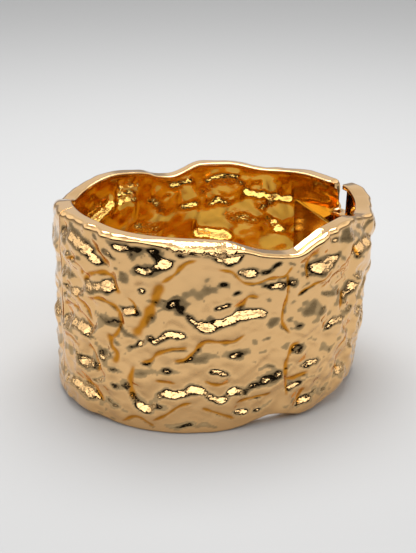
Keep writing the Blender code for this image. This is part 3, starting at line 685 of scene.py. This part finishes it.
def shell_sections(first, last, rear, sizes):
    """Points of a half shell's columns, and the marks that they carry for the finish and its painted shade
    and reflection.

    The rows go up the outer face, over the upper rim, down the back and under the lower rim.
    """
    lip_round = sizes.lip_round / MM
    turns = column_turns(first.turn, last.turn)
    x, y, normal_x, normal_y = oval(turns)
    from_first, to_last = (turns - first.turn) * arc_per_degree(), (last.turn - turns) * arc_per_degree()
    skew = (first.skew * (1.0 - smooth_step(from_first / END_FADE))
            + last.skew * (1.0 - smooth_step(to_last / END_FADE)))
    ray_x, ray_y = normal_x - skew * normal_y, normal_y + skew * normal_x
    end_distance = np.minimum(from_first, to_last)
    at_hinge_end = (to_last < from_first) == last.hinged
    end_round = np.where(at_hinge_end, END_ROUND, SEAM_ROUND)
    inset = end_round - np.sqrt(end_round ** 2 - np.clip(end_round - end_distance, 0.0, end_round) ** 2)
    hinge_distance = to_last if last.hinged else from_first
    corner = CORNER_ROUND - np.sqrt(np.clip(
        CORNER_ROUND ** 2 - np.clip(CORNER_ROUND - hinge_distance, 0.0, None) ** 2, 0.0, None))
    top = wave_size(UPPER_RIM, turns) * HEIGHT - np.maximum(inset, corner)
    foot = wave_size(LOWER_RIM, turns) * HEIGHT + inset
    at_first, at_last = from_first < END_WALL + GAP / 2.0, to_last < END_WALL + GAP / 2.0
    full_wall = (at_first & (not first.hinged)) | (at_last & (not last.hinged))
    hinge_wall = full_wall | at_first | at_last
    seat = (PLATE_HIGH.x + GAP - x) / ray_x
    seat = np.where((turns < 90.0) & rear, seat, 0.0)

    heights, offsets, marks = [], [], {label: [] for label in MARKS}

    def add(height, offset, **given):
        heights.append(height + np.zeros_like(turns))
        offsets.append(offset + np.zeros_like(turns))
        for label in MARKS:
            marks[label].append(given.get(label, 0.0) + np.zeros_like(turns))

    edge, foot_edge = wave_size(EDGE_RADIUS, turns), FOOT_RADIUS
    rise_share = np.linspace(0.0, 1.0, OUTER_ROWS)[:, None]
    wall_heights = foot + foot_edge + (top - edge - foot - foot_edge) * rise_share
    seam_distance = from_first if last.hinged else to_last
    kept = RELIEF_AT_SEAM + (1.0 - RELIEF_AT_SEAM) * smooth_step(seam_distance / SEAM_REACH)
    rise, valley_painted_shade_share = relief(turns, wall_heights, rear, sizes)
    valley_painted_shade_share = valley_painted_shade_share * kept
    wall_offsets = swell_rise(turns, wall_heights) + rise * kept - inset
    slope = -np.gradient(wall_offsets, axis=0) / np.gradient(wall_heights, axis=0)
    leaning = smooth_step((slope - STEEP_SLOPE) / STEEP_SLOPE)
    # Where the wall leans back a little it gets the painted dim reflection, a darker olive colour
    dull_end = smooth_step((slope - PAINTED_DIM_REFLECTION_END) / PAINTED_DIM_REFLECTION_END_STEP)
    dull = smooth_step((slope - PAINTED_DIM_REFLECTION_SLOPE) / PAINTED_DIM_REFLECTION_STEP) * (1.0 - dull_end)
    for row in range(OUTER_ROWS):
        add(wall_heights[row], wall_offsets[row],
            valley=valley_painted_shade_share[row], leaning=leaning[row], dull=dull[row])
    upper_swell, lower_swell = swell_rise(turns, top), swell_rise(turns, foot)
    flange_round = RIM_WIDTH - SKIN
    near_end = np.clip(1.0 - hinge_distance / flange_round, 0.0, 1.0)
    flange = np.maximum(SKIN + flange_round * np.sqrt(1.0 - near_end ** 2), SKIN + lip_round)
    inner_top = upper_swell - flange + inset
    inner_foot = lower_swell - flange + inset
    hammered = smooth_step(edge / FOOT_RADIUS - HAMMERED_EDGE)
    for sine, cosine in quarter_round(EDGE_ROWS):
        add(top - edge * (1.0 - sine), wall_offsets[-1] - edge * (1.0 - cosine), leaning=hammered)
    land = wall_offsets[-1] - edge
    facet = FACET_DEPTH * smooth_step(FACET_HALF - abs(turn_difference(turns, FACET_TURN)))
    for step in range(1, LAND_ROWS + 1):
        dip = facet * sin(pi * step / LAND_ROWS) ** 2
        add(top - dip, land + (inner_top + lip_round - land) * step / LAND_ROWS)
    for sine, cosine in quarter_round(LIP_ROWS):
        add(top - lip_round * (1.0 - cosine), inner_top + lip_round * (1.0 - sine))
    add(top - RIM_DEPTH, inner_top)
    block_top, block_foot = HINGE_TOP - BLOCK_DROP, HINGE_FOOT + BLOCK_DROP
    under_rim, over_rim = top - RIM_DEPTH, foot + RIM_DEPTH
    rows = [(under_rim + (block_top + GAP - under_rim) * step / CHANNEL_ROWS, False)
            for step in range(CHANNEL_ROWS + 1)]
    rows += [(height, True) for height in np.linspace(block_top, block_foot, BLOCK_ROWS)]
    rows += [(block_foot - GAP + (over_rim - block_foot + GAP) * step / CHANNEL_ROWS, False)
             for step in range(CHANNEL_ROWS + 1)]
    back_heights = np.array([height + np.zeros_like(turns) for height, _ in rows])
    outer_rise = relief(turns, back_heights, rear, sizes)[0] * kept
    hollows, inner_faces = ledges_rise(INSIDE_LEDGES if rear else [], turns, back_heights)
    swells = swell_rise(turns, back_heights)
    backs = (swells + sizes.back_follows * blurred(outer_rise) - SKIN + inset + hollows
             + INSIDE_SLOPE * ripple(turns + INSIDE_SHIFT, back_heights, INSIDE_STRETCH)
             + INSIDE_LEAN * (back_heights - HEIGHT / 2.0))
    backs = np.minimum(backs, swells + outer_rise - THINNEST)
    for height, back, face, swell, (_, at_hinge) in zip(back_heights, backs, inner_faces, swells, rows):
        if at_hinge:
            back = np.minimum(back, seat)
        wall = hinge_wall if at_hinge else full_wall
        back = np.where(wall, np.minimum(back, swell - RIM_WIDTH + inset), back)
        # The backs carry the painted inside reflection; the inner ledges' faces get less of it, so they look
        # paler
        add(height, back, inside=1.0 - INNER_FACE_PALER * face, leaning=face)
    add(over_rim, inner_foot)
    add(foot + lip_round, inner_foot)
    for sine, cosine in quarter_round(LIP_ROWS):
        add(foot + lip_round * (1.0 - sine), inner_foot + lip_round * (1.0 - cosine))
    foot_land = wall_offsets[0] - foot_edge
    for step in range(1, LAND_ROWS + 1):
        add(foot, inner_foot + lip_round + (foot_land - inner_foot - lip_round) * step / LAND_ROWS)
    for sine, cosine in quarter_round(EDGE_ROWS)[:-1]:
        add(foot + foot_edge * (1.0 - cosine), foot_land + foot_edge * sine)

    heights, offsets = np.array(heights), np.array(offsets)
    points = np.stack([x + ray_x * offsets, y + ray_y * offsets, heights], axis=-1)
    if rear:
        points = clear_knuckles(points)
    return points.transpose(1, 0, 2), {label: np.array(rows) for label, rows in marks.items()}


def blurred(rows):
    """The rows smoothed over a few neighbours both ways."""
    for axis, width in ((0, BLUR_ROWS), (1, BLUR_COLUMNS)):
        padded = np.concatenate([np.repeat(np.take(rows, [0], axis), width // 2, axis), rows,
                                 np.repeat(np.take(rows, [-1], axis), width // 2, axis)], axis)
        count = rows.shape[axis]
        rows = sum(np.take(padded, range(step, step + count), axis) for step in range(width)) / width
    return rows


def clear_knuckles(points):
    """Scoop the rear shell's end out round the knuckles."""
    reach = KNUCKLE_RADIUS + 2.0 * GAP
    aside = points[..., 0] - HINGE_X
    behind = HINGE_Y + np.sqrt(np.clip(reach ** 2 - aside ** 2, 0.0, None))
    room = 2.0 * GAP + PIN_HIGH.z - HINGE_TOP
    level = (points[..., 2] > HINGE_FOOT - room) & (points[..., 2] < HINGE_TOP + room)
    inside = level & (abs(aside) < reach) & (points[..., 1] < behind)
    points[..., 1] = np.where(inside, behind, points[..., 1])
    return points


def hex_colour(code):
    """Linear colour of an sRGB hex value."""
    channels = [int(code[index:index + 2], 16) / 255.0 for index in (0, 2, 4)]
    return [value / 12.92 if value <= 0.04045 else ((value + 0.055) / 1.055) ** 2.4
            for value in channels] + [1.0]


def node(tree, kind, settings=None, inputs=None):
    """Add a node with its settings, and its inputs as values or as sockets to link."""
    made = tree.nodes.new(kind)
    for name, value in (settings or {}).items():
        setattr(made, name, value)
    for name, value in (inputs or {}).items():
        if isinstance(value, bpy.types.NodeSocket):
            tree.links.new(value, made.inputs[name])
        else:
            made.inputs[name].default_value = value
    return made


def bare_material(name):
    """A material without nodes, and its node tree."""
    made = bpy.data.materials.new(name)
    made.use_nodes = True
    made.node_tree.nodes.clear()
    return made, made.node_tree


# Polished gold plate on cast zinc alloy: a warm mirror that keeps the casting's ripple, with fine pitting and
# cloudy patches of more and less shine. Where the wall leans back a little, a darker olive colour is painted
# in, a painted dim reflection. It doesn't reach the steeper faces, which stay gritty and glitter. The valleys
# and the backs are painted deeper and redder, painted shade and painted reflection of the metal in itself.
# The grit is drawn coarser than real grit, so that it shows.
def polished_gold_plate(name, finish):
    """Finish of the two cast shells, which reads the marks on their points, painted shade and reflection
    among them.
    """
    made, tree = bare_material(name)
    place = node(tree, "ShaderNodeTexCoord").outputs["Object"]
    valley, inside, leaning, dull = (
        node(tree, "ShaderNodeAttribute", {"attribute_name": label}).outputs["Fac"] for label in MARKS)
    # Painted reflection and shade: the inside, dim-reflection and valley marks mix their colours over the
    # gold
    tint = finish.gold
    for share, colour in ((inside, finish.inside_painted_reflection), (dull, finish.dull_gold),
                          (valley, finish.valley_painted_shade)):
        tint = node(tree, "ShaderNodeMix", {"data_type": "RGBA"}, {0: share, 6: tint, 7: colour}).outputs[2]
    cloud = node(tree, "ShaderNodeTexNoise", None,
                 {"Vector": place, "Scale": 1.0 / (CLOUD_SIZE * MM), "Detail": 4.0})
    shine = node(tree, "ShaderNodeMapRange", None,
                 {"Value": cloud.outputs["Fac"], "From Min": NOISE_LOW, "From Max": NOISE_HIGH,
                  "To Min": finish.roughness * POLISH_RANGE[0], "To Max": finish.roughness * POLISH_RANGE[1]})
    satin = node(tree, "ShaderNodeMath", {"operation": "MULTIPLY_ADD"},
                 {0: inside, 1: BACK_ROUGHNESS, 2: shine.outputs["Result"]}).outputs["Value"]
    normal = {}
    for size, detail, strength, height in ((PITTING_SIZE, 3.0, PITTING_STRENGTH, PITTING_HEIGHT),
                                           (GRIT_SIZE, 2.0, leaning, GRIT_HEIGHT)):
        grain = node(tree, "ShaderNodeTexNoise", None,
                     {"Vector": place, "Scale": 1.0 / (size * MM), "Detail": detail}).outputs["Fac"]
        bump = node(tree, "ShaderNodeBump", None,
                    {"Height": grain, "Strength": strength, "Distance": height * MM, **normal})
        normal = {"Normal": bump.outputs["Normal"]}
    shader = node(tree, "ShaderNodeBsdfPrincipled", None,
                  {"Base Color": tint, "Metallic": 1.0, "Roughness": satin, **normal})
    node(tree, "ShaderNodeOutputMaterial", None, {"Surface": shader.outputs["BSDF"]})
    return made


# Gold plate on turned steel or rolled sheet: less bright than the casting, with fine lines across the
# given axis that stretch each highlight. The lines are drawn coarser than real ones, so that they show.
def lined_gold_plate(name, colour, roughness, fine_axis):
    """Finish of the hinge's small pieces, with lines that are close together along one axis."""
    made, tree = bare_material(name)
    place = node(tree, "ShaderNodeTexCoord").outputs["Object"]
    scale = Vector([LINE_STRETCH if axis == fine_axis else 1.0 for axis in "XYZ"])
    stretched = node(tree, "ShaderNodeMapping", None, {"Vector": place, "Scale": scale}).outputs["Vector"]
    lines = node(tree, "ShaderNodeTexNoise", None,
                 {"Vector": stretched, "Scale": 1.0 / (LINE_SIZE * MM), "Detail": 3.0}).outputs["Fac"]
    shine = node(tree, "ShaderNodeMapRange", None,
                 {"Value": lines, "From Min": NOISE_LOW, "From Max": NOISE_HIGH,
                  "To Min": roughness * LINED_RANGE[0],
                  "To Max": roughness * LINED_RANGE[1]}).outputs["Result"]
    lined = node(tree, "ShaderNodeBump", None,
                 {"Height": lines, "Strength": LINE_STRENGTH,
                  "Distance": LINE_HEIGHT * MM}).outputs["Normal"]
    shader = node(tree, "ShaderNodeBsdfPrincipled", None,
                  {"Base Color": colour, "Metallic": 1.0, "Roughness": shine, "Normal": lined})
    node(tree, "ShaderNodeOutputMaterial", None, {"Surface": shader.outputs["BSDF"]})
    return made


# Matt white card: it scatters light evenly and mirrors nothing.
def matt_white_card(name, colour):
    """Finish of the floor."""
    made, tree = bare_material(name)
    shader = node(tree, "ShaderNodeBsdfPrincipled", None,
                  {"Base Color": colour, "Roughness": CARD_ROUGHNESS, "Specular IOR Level": 0.0})
    node(tree, "ShaderNodeOutputMaterial", None, {"Surface": shader.outputs["BSDF"]})
    return made


def deselect():
    """Leave nothing selected."""
    if bpy.context.object and bpy.context.object.mode != "OBJECT":
        bpy.ops.object.mode_set(mode="OBJECT")
    bpy.ops.object.select_all(action="DESELECT")


def activate(made):
    """Select one object alone."""
    deselect()
    made.select_set(True)
    bpy.context.view_layer.objects.active = made


def apply_place(made):
    """Move an object's place, turn and scale into its mesh."""
    activate(made)
    bpy.ops.object.transform_apply(location=True, rotation=True, scale=True)


def apply_modifier(made, kind, **settings):
    """Add a modifier with its settings and apply it."""
    activate(made)
    modifier = made.modifiers.new(kind.lower(), kind)
    for name, value in settings.items():
        setattr(modifier, name, value)
    bpy.ops.object.modifier_apply(modifier=modifier.name)


def finish_piece(made, name, material, body, slot, *replaced):
    """Name, shade and dress a piece, and let it ride on its body and stand for its nodes."""
    apply_place(made)
    made.name = made.data.name = name
    made.data.materials.append(material)
    bpy.ops.object.shade_smooth_by_angle(angle=radians(SMOOTH_ANGLE))
    shape = bmesh.new()
    shape.from_mesh(made.data)
    gaps = sum(not edge.is_manifold for edge in shape.edges)
    shape.free()
    if gaps:
        raise RuntimeError(f"{name} isn't closed: {gaps} edges have no face on one side")
    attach(made, body)
    if replaced:
        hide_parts(*replaced)


def cast_shell(name, first, last, rear, body, replaced):
    """A fine half shell: a grid laid out flat, bent round the oval and closed into a channel."""
    sections, shares = shell_sections(first, last, rear, bpy.context.scene.cuff_sizes)
    columns, around = sections.shape[:2]
    deselect()
    bpy.ops.mesh.primitive_grid_add(x_subdivisions=columns - 1, y_subdivisions=around - 1, size=1.0)
    made = bpy.context.object
    mesh = made.data
    by_row = sections.transpose(1, 0, 2).reshape(-1, 3) * MM
    mesh.vertices.foreach_set("co", by_row.ravel())
    for label, share in shares.items():
        mesh.attributes.new(label, "FLOAT", "POINT").data.foreach_set("value", share.ravel())
    mesh.update()
    bpy.ops.object.mode_set(mode="EDIT")
    shape = bmesh.from_edit_mesh(mesh)
    shape.verts.ensure_lookup_table()
    last_row = (around - 1) * columns
    for column in range(columns - 1):
        corners = (last_row + column, last_row + column + 1, column + 1, column)
        shape.faces.new([shape.verts[index] for index in corners])
    for column in (0, columns - 1):
        shape.faces.new([shape.verts[row * columns + column] for row in range(around)])
    bmesh.update_edit_mesh(mesh)
    bpy.ops.mesh.select_all(action="SELECT")
    bpy.ops.mesh.normals_make_consistent(inside=False)
    bpy.ops.object.mode_set(mode="OBJECT")
    finish = "polished_gold_plate_on_cast_zinc"
    material = bpy.data.materials.get(finish) or polished_gold_plate(finish, bpy.context.scene.cuff_finish)
    finish_piece(made, name, material, body, f"{replaced}_gold_plate", replaced)


def knuckle_spans():
    """Foot and top of each hinge knuckle, from the lowest up."""
    length = (HINGE_TOP - HINGE_FOOT - GAP * (KNUCKLES - 1)) / KNUCKLES
    feet = [HINGE_FOOT + index * (length + GAP) for index in range(KNUCKLES)]
    return [(foot, foot + length) for foot in feet]


def knuckle(name, span, arm_y, body, slot, material):
    """A knuckle with the arm that joins it to its shell."""
    foot, top = span
    middle = (foot + top) / 2.0
    deselect()
    bpy.ops.mesh.primitive_cylinder_add(vertices=ROUND_SIDES, radius=KNUCKLE_RADIUS * MM,
                                        depth=(top - foot) * MM,
                                        location=Vector((HINGE_X, HINGE_Y, middle)) * MM)
    barrel = bpy.context.object
    deselect()
    arm_middle = Vector((HINGE_X, (HINGE_Y + arm_y) / 2.0, middle))
    bpy.ops.mesh.primitive_cube_add(size=1.0, location=arm_middle * MM)
    arm = bpy.context.object
    arm.scale = Vector((KNUCKLE_ARM, abs(arm_y - HINGE_Y), top - foot)) * MM
    for piece in (arm, barrel):
        apply_place(piece)
    apply_modifier(barrel, "BOOLEAN", operation="UNION", solver="EXACT", object=arm)
    apply_modifier(barrel, "BEVEL", width=bpy.context.scene.cuff_sizes.knuckle_edge,
                   segments=KNUCKLE_BEVELS, limit_method="ANGLE", angle_limit=radians(SMOOTH_ANGLE))
    bpy.data.objects.remove(arm, do_unlink=True)
    finish_piece(barrel, name, material, body, slot)


def softened_box(name, low, high, material, body, replaced):
    """A box between two corners with rounded edges."""
    deselect()
    bpy.ops.mesh.primitive_cube_add(size=1.0, location=(low + high) / 2.0 * MM)
    made = bpy.context.object
    made.scale = (high - low) * MM
    apply_place(made)
    apply_modifier(made, "BEVEL", width=bpy.context.scene.cuff_sizes.plate_edge, segments=PLATE_BEVELS)
    finish_piece(made, name, material, body, f"{replaced}_gold_plate", replaced)


def domed_pin(name, material, body, replaced):
    """The hinge pin: a rod with a low dome at each end, extruded ring by ring.

    The underside of the upper head faces the way the lower end does, so it is drawn out with it and
    leaves a thin collar round the rod, under the upper head.
    """
    head_radius, middle = (PIN_HIGH.x - PIN_LOW.x) / 2.0, (PIN_HIGH.z + PIN_LOW.z) / 2.0
    deselect()
    bpy.ops.mesh.primitive_cylinder_add(vertices=ROUND_SIDES, radius=PIN_ROD_RADIUS * MM,
                                        depth=(PIN_HIGH.z - PIN_LOW.z - 2.0 * PIN_HEAD_HEIGHT) * MM,
                                        location=Vector((HINGE_X, HINGE_Y, middle)) * MM)
    made = bpy.context.object
    bpy.ops.object.mode_set(mode="EDIT")
    angles = [pi / 2.0 * ring / PIN_DOME_RINGS for ring in range(PIN_DOME_RINGS)]
    steps = list(zip(angles, angles[1:]))
    widths = [head_radius / PIN_ROD_RADIUS] + [cos(angle) / cos(before) for before, angle in steps]
    lifts = [0.0] + [sin(angle) - sin(before) for before, angle in steps]
    for direction in (1.0, -1.0):
        bpy.ops.mesh.select_mode(type="FACE")
        bpy.ops.mesh.select_all(action="DESELECT")
        shape = bmesh.from_edit_mesh(made.data)
        for face in shape.faces:
            face.select = face.normal.z * direction > PIN_END_FACE
        bmesh.update_edit_mesh(made.data)
        rim = PIN_HEAD_RIM * direction * MM
        bpy.ops.mesh.extrude_region_move(TRANSFORM_OT_translate={"value": (0.0, 0.0, rim)})
        for width, lift in zip(widths, lifts):
            rise = lift * (PIN_HEAD_HEIGHT - PIN_HEAD_RIM) * direction * MM
            bpy.ops.mesh.extrude_region_move(TRANSFORM_OT_translate={"value": (0.0, 0.0, rise)})
            bpy.ops.transform.resize(value=(width, width, 1.0))
    bpy.ops.object.mode_set(mode="OBJECT")
    finish_piece(made, name, material, body, f"{replaced}_gold_plate", replaced)


def towards(azimuth, elevation):
    """Direction from the object to an azimuth and elevation, as the views count them."""
    turn, rise = radians(azimuth), radians(elevation)
    return Vector((sin(turn) * cos(rise), -cos(turn) * cos(rise), sin(rise)))


def studio_sky(strength, front):
    """Soft dome over the card: a dark gap in the lamps in front, paler at the sides and behind."""
    world = bpy.data.worlds.new("studio_sky")
    bpy.context.scene.world = world
    world.use_nodes = True
    tree = world.node_tree
    tree.nodes.clear()
    place = node(tree, "ShaderNodeTexCoord").outputs["Generated"]
    up = node(tree, "ShaderNodeSeparateXYZ", None, {"Vector": place}).outputs["Z"]
    ramps = []
    for levels in (SKY_IN_FRONT, SKY_AT_SIDES, SKY_BEHIND):
        ramp = node(tree, "ShaderNodeValToRGB", None, {"Fac": up})
        points = ramp.color_ramp.elements
        while len(points) < len(levels):
            points.new(0.5)
        for point, (position, level) in zip(points, levels):
            point.position = position
            point.color = (level, level, level, 1.0)
        ramps.append(ramp.outputs["Color"])
    facing = node(tree, "ShaderNodeVectorMath", {"operation": "DOT_PRODUCT"},
                  {0: place, 1: front}).outputs["Value"]
    sky = ramps[2]
    for (low, high), ramp in zip((SIDES_END, SIDES_BEGIN), (ramps[1], ramps[0])):
        share = node(tree, "ShaderNodeMapRange", {"interpolation_type": "SMOOTHSTEP"},
                     {"Value": facing, "From Min": low, "From Max": high}).outputs["Result"]
        sky = node(tree, "ShaderNodeMix", {"data_type": "RGBA"}, {0: share, 6: sky, 7: ramp}).outputs[2]
    background = node(tree, "ShaderNodeBackground", None, {"Color": sky, "Strength": strength})
    node(tree, "ShaderNodeOutputWorld", None, {"Surface": background.outputs["Background"]})


def face_object(made, direction, distance, turned):
    """Place a lamp or camera in a direction from the object, turned to face it."""
    bpy.context.scene.collection.objects.link(made)
    made.location = Vector(CAMERA_AIM) + direction * distance
    made.rotation_mode = "QUATERNION"
    made.rotation_quaternion = turned


def softbox(name, radiance):
    """A square lamp of even brightness, above and behind the object."""
    lamp = bpy.data.lights.new(name, "AREA")
    lamp.size = KEY_WIDTH
    lamp.energy = radiance * pi * KEY_WIDTH ** 2
    made = bpy.data.objects.new(name, lamp)
    direction = towards(KEY_AZIMUTH, KEY_ELEVATION)
    face_object(made, direction, KEY_DISTANCE, direction.to_track_quat("Z", "Y"))
    made.visible_camera = False


def camera(name, azimuth, elevation, distance):
    """The photograph's camera."""
    lens = bpy.data.cameras.new(name)
    lens.lens = CAMERA_LENS
    lens.shift_x, lens.shift_y = CAMERA_SHIFT
    lens.clip_start = CAMERA_NEAREST
    made = bpy.data.objects.new(name, lens)
    direction = towards(azimuth, elevation)
    face_object(made, direction, distance, (-direction).to_track_quat("-Z", "Y"))
    bpy.context.scene.camera = made


def share_property(name, description, default, most):
    """A share of the real cuff's size that a user can change."""
    return bpy.props.FloatProperty(name=name, description=description, default=default, min=0.0, max=most,
                                   subtype="FACTOR")


def length_property(name, description, default, least, most):
    """A small length that a user can change, given in millimetres."""
    return bpy.props.FloatProperty(name=name, description=description, default=default * MM,
                                   min=least * MM, max=most * MM, unit="LENGTH", precision=5)


def colour_property(name, description, code):
    """A colour that a user can change, given as sRGB hex."""
    return bpy.props.FloatVectorProperty(name=name, description=description, default=hex_colour(code),
                                         min=0.0, max=1.0, size=4, subtype="COLOR")


class CuffSizes(bpy.types.PropertyGroup):
    """Sizes of the cast surface and of the small roundings"""
    ledge_height: share_property(
        "Ledges", "Height of the relief's ledges, as a share of the real cuff's", 1.0, 1.5)
    valley_depth: share_property(
        "Valleys", "Depth of the relief's narrow valleys, as a share of the real cuff's", 1.0, 1.5)
    ripple_slope: share_property("Ripple", "Steepness of each wave of the casting ripple", 0.055, 0.1)
    back_follows: share_property("Back follows", "How far the hollow back follows the relief", 0.25, 0.8)
    lip_round: length_property("Lip rounding", "Radius of the rims' inner edges", 0.3, 0.05, 0.5)
    seam_gap: length_property("Seam gap", "Gap between the two halves of the closed cuff", 0.12, 0.05, 0.3)
    knuckle_edge: length_property("Knuckle edges", "Radius of the knuckles' edges", 0.15, 0.02, 0.3)
    plate_edge: length_property("Plate edges", "Radius of the spring plate's edges", 0.12, 0.02, 0.3)


class CuffFinish(bpy.types.PropertyGroup):
    """Colours and shine of the gold plate, with its painted shade and reflection colours"""
    gold: colour_property("Gold", "Colour of the polished plate outside", GOLD)
    dull_gold: colour_property("Painted dim reflection", "Colour painted where the wall leans back a little, for the dim reflection there", PAINTED_DIM_REFLECTION_COLOUR)
    valley_painted_shade: colour_property("Valleys", "Painted shade and self-reflection colour in the narrow valleys", VALLEY_PAINTED_SHADE)
    inside_painted_reflection: colour_property("Inside", "Painted reflection colour of the hollow backs and the spring plate", INSIDE_PAINTED_REFLECTION)
    pin_gold: colour_property("Hinge", "Colour of the plate on the pin and the knuckles", PIN_GOLD)
    roughness: bpy.props.FloatProperty(
        name="Roughness", description="Roughness of the polished plate",
        default=POLISH_ROUGHNESS, min=0.02, max=0.4, subtype="FACTOR")


class CuffStage(bpy.types.PropertyGroup):
    """Light, floor and camera"""
    floor_colour: colour_property("Floor", "Colour of the card under the cuff", FLOOR_WHITE)
    key_radiance: bpy.props.FloatProperty(
        name="Softbox", description="Radiance of the softbox above", default=7.0, min=0.0, max=30.0)
    sky_strength: bpy.props.FloatProperty(
        name="Sky", description="Strength of the dome round the cuff", default=2.0, min=0.0, max=5.0)
    camera_azimuth: bpy.props.FloatProperty(
        name="Camera azimuth", description="Angle of the camera round the cuff, from the front",
        default=radians(-20.0), subtype="ANGLE")
    camera_elevation: bpy.props.FloatProperty(
        name="Camera elevation", description="Angle of the camera above the table",
        default=radians(21.96), subtype="ANGLE")
    camera_distance: bpy.props.FloatProperty(
        name="Camera distance", description="Distance from the camera to the cuff's middle",
        default=0.25, min=0.1, max=2.0, unit="LENGTH")


class CUFF_OT_front_cast(bpy.types.Operator):
    """Model the front half: the shell with the crack, the rope and the snake in its relief"""
    bl_idname = "cuff.front_cast"
    bl_label = "Front half"

    def execute(self, context):
        seam = End(SEAM_TURN + seam_half(context.scene.cuff_sizes), SEAM_SKEW, False)
        hinge = End(360.0 + turn_at(HINGE_Y - FRONT_END_GAP), FRONT_END_SKEW, True)
        cast_shell("front_cast", seam, hinge, False, "front_half", "front_shell")
        return {"FINISHED"}


class CUFF_OT_rear_cast(bpy.types.Operator):
    """Model the rear half, with the block that fills its channel behind the hinge"""
    bl_idname = "cuff.rear_cast"
    bl_label = "Rear half"

    def execute(self, context):
        hinge = End(turn_at(HINGE_Y + REAR_END_GAP), REAR_END_SKEW, True)
        seam = End(SEAM_TURN - seam_half(context.scene.cuff_sizes), SEAM_SKEW, False)
        cast_shell("rear_cast", hinge, seam, True, "rear_half", "rear_shell")
        return {"FINISHED"}


class CUFF_OT_knuckles(bpy.types.Operator):
    """Model the three hinge knuckles, two on the front half and one on the rear half"""
    bl_idname = "cuff.knuckles"
    bl_label = "Hinge knuckles"

    def execute(self, context):
        colour = context.scene.cuff_finish.pin_gold
        material = lined_gold_plate("turned_gold_plate", colour, KNUCKLE_ROUGHNESS, "Z")
        front, rear = HINGE_Y - FRONT_END_GAP - END_WALL, HINGE_Y + REAR_END_GAP + END_WALL
        rows = (("lower_knuckle", front, "front_half", "front_shell_gold_plate"),
                ("middle_knuckle", rear, "rear_half", "rear_shell_gold_plate"),
                ("upper_knuckle", front, "front_half", "front_shell_gold_plate"))
        for span, (name, arm_y, body, slot) in zip(knuckle_spans(), rows):
            knuckle(name, span, arm_y, body, slot, material)
        return {"FINISHED"}


class CUFF_OT_hinge_pin(bpy.types.Operator):
    """Model the hinge pin with its two domed heads"""
    bl_idname = "cuff.hinge_pin"
    bl_label = "Hinge pin"

    def execute(self, context):
        colour = context.scene.cuff_finish.pin_gold
        material = lined_gold_plate("drawn_gold_plated_steel", colour, PIN_ROUGHNESS, "Z")
        domed_pin("domed_hinge_pin", material, "front_half", "hinge_pin")
        return {"FINISHED"}


class CUFF_OT_cover_plate(bpy.types.Operator):
    """Model the flat plate that covers the closing spring"""
    bl_idname = "cuff.cover_plate"
    bl_label = "Spring plate"

    def execute(self, context):
        # The spring plate takes the painted inside reflection colour
        colour = context.scene.cuff_finish.inside_painted_reflection
        material = lined_gold_plate("rolled_gold_plated_sheet", colour, PLATE_ROUGHNESS, "Y")
        softened_box("cover_plate", PLATE_LOW, PLATE_HIGH, material, "rear_half", "spring_plate")
        return {"FINISHED"}


class CUFF_OT_stage(bpy.types.Operator):
    """Lay the floor, light the cuff and set up the camera"""
    bl_idname = "cuff.stage"
    bl_label = "Floor, light and camera"

    def execute(self, context):
        stage = context.scene.cuff_stage
        deselect()
        bpy.ops.mesh.primitive_circle_add(vertices=FLOOR_SIDES, radius=FLOOR_RADIUS, fill_type="NGON")
        floor = context.object
        floor.name = "floor"
        floor.data.materials.append(matt_white_card("matt_white_card", stage.floor_colour))
        azimuth, elevation = degrees(stage.camera_azimuth), degrees(stage.camera_elevation)
        studio_sky(stage.sky_strength, towards(azimuth, 0.0))
        softbox("key_softbox", stage.key_radiance)
        camera("camera", azimuth, elevation, stage.camera_distance)
        context.scene.view_settings.view_transform = "Standard"
        return {"FINISHED"}


class CUFF_PT_pieces(bpy.types.Panel):
    """Sizes, colours and pieces of the cuff"""
    bl_label = "Hinged cuff bracelet"
    bl_space_type = "VIEW_3D"
    bl_region_type = "UI"
    bl_category = "Cuff"

    def draw(self, context):
        for group in (context.scene.cuff_sizes, context.scene.cuff_finish, context.scene.cuff_stage):
            column = self.layout.column(align=True)
            for name in group.__annotations__:
                column.prop(group, name)
        for operator in OPERATORS:
            self.layout.operator(operator.bl_idname)


GROUPS = {"cuff_sizes": CuffSizes, "cuff_finish": CuffFinish, "cuff_stage": CuffStage}
OPERATORS = (CUFF_OT_front_cast, CUFF_OT_rear_cast, CUFF_OT_knuckles, CUFF_OT_hinge_pin,
             CUFF_OT_cover_plate, CUFF_OT_stage)


def register():
    """Register the settings, operators and panel."""
    for kind in (*GROUPS.values(), *OPERATORS, CUFF_PT_pieces):
        bpy.utils.register_class(kind)
    for name, group in GROUPS.items():
        setattr(bpy.types.Scene, name, bpy.props.PointerProperty(type=group))


def unregister():
    """Take the settings, operators and panel away again."""
    for name in GROUPS:
        delattr(bpy.types.Scene, name)
    for kind in reversed((*GROUPS.values(), *OPERATORS, CUFF_PT_pieces)):
        bpy.utils.unregister_class(kind)


def main():
    """Make every piece and the stage."""
    register()
    bpy.ops.cuff.front_cast()
    bpy.ops.cuff.rear_cast()
    bpy.ops.cuff.knuckles()
    bpy.ops.cuff.hinge_pin()
    bpy.ops.cuff.cover_plate()
    bpy.ops.cuff.stage()


if __name__ == "__main__":
    main()
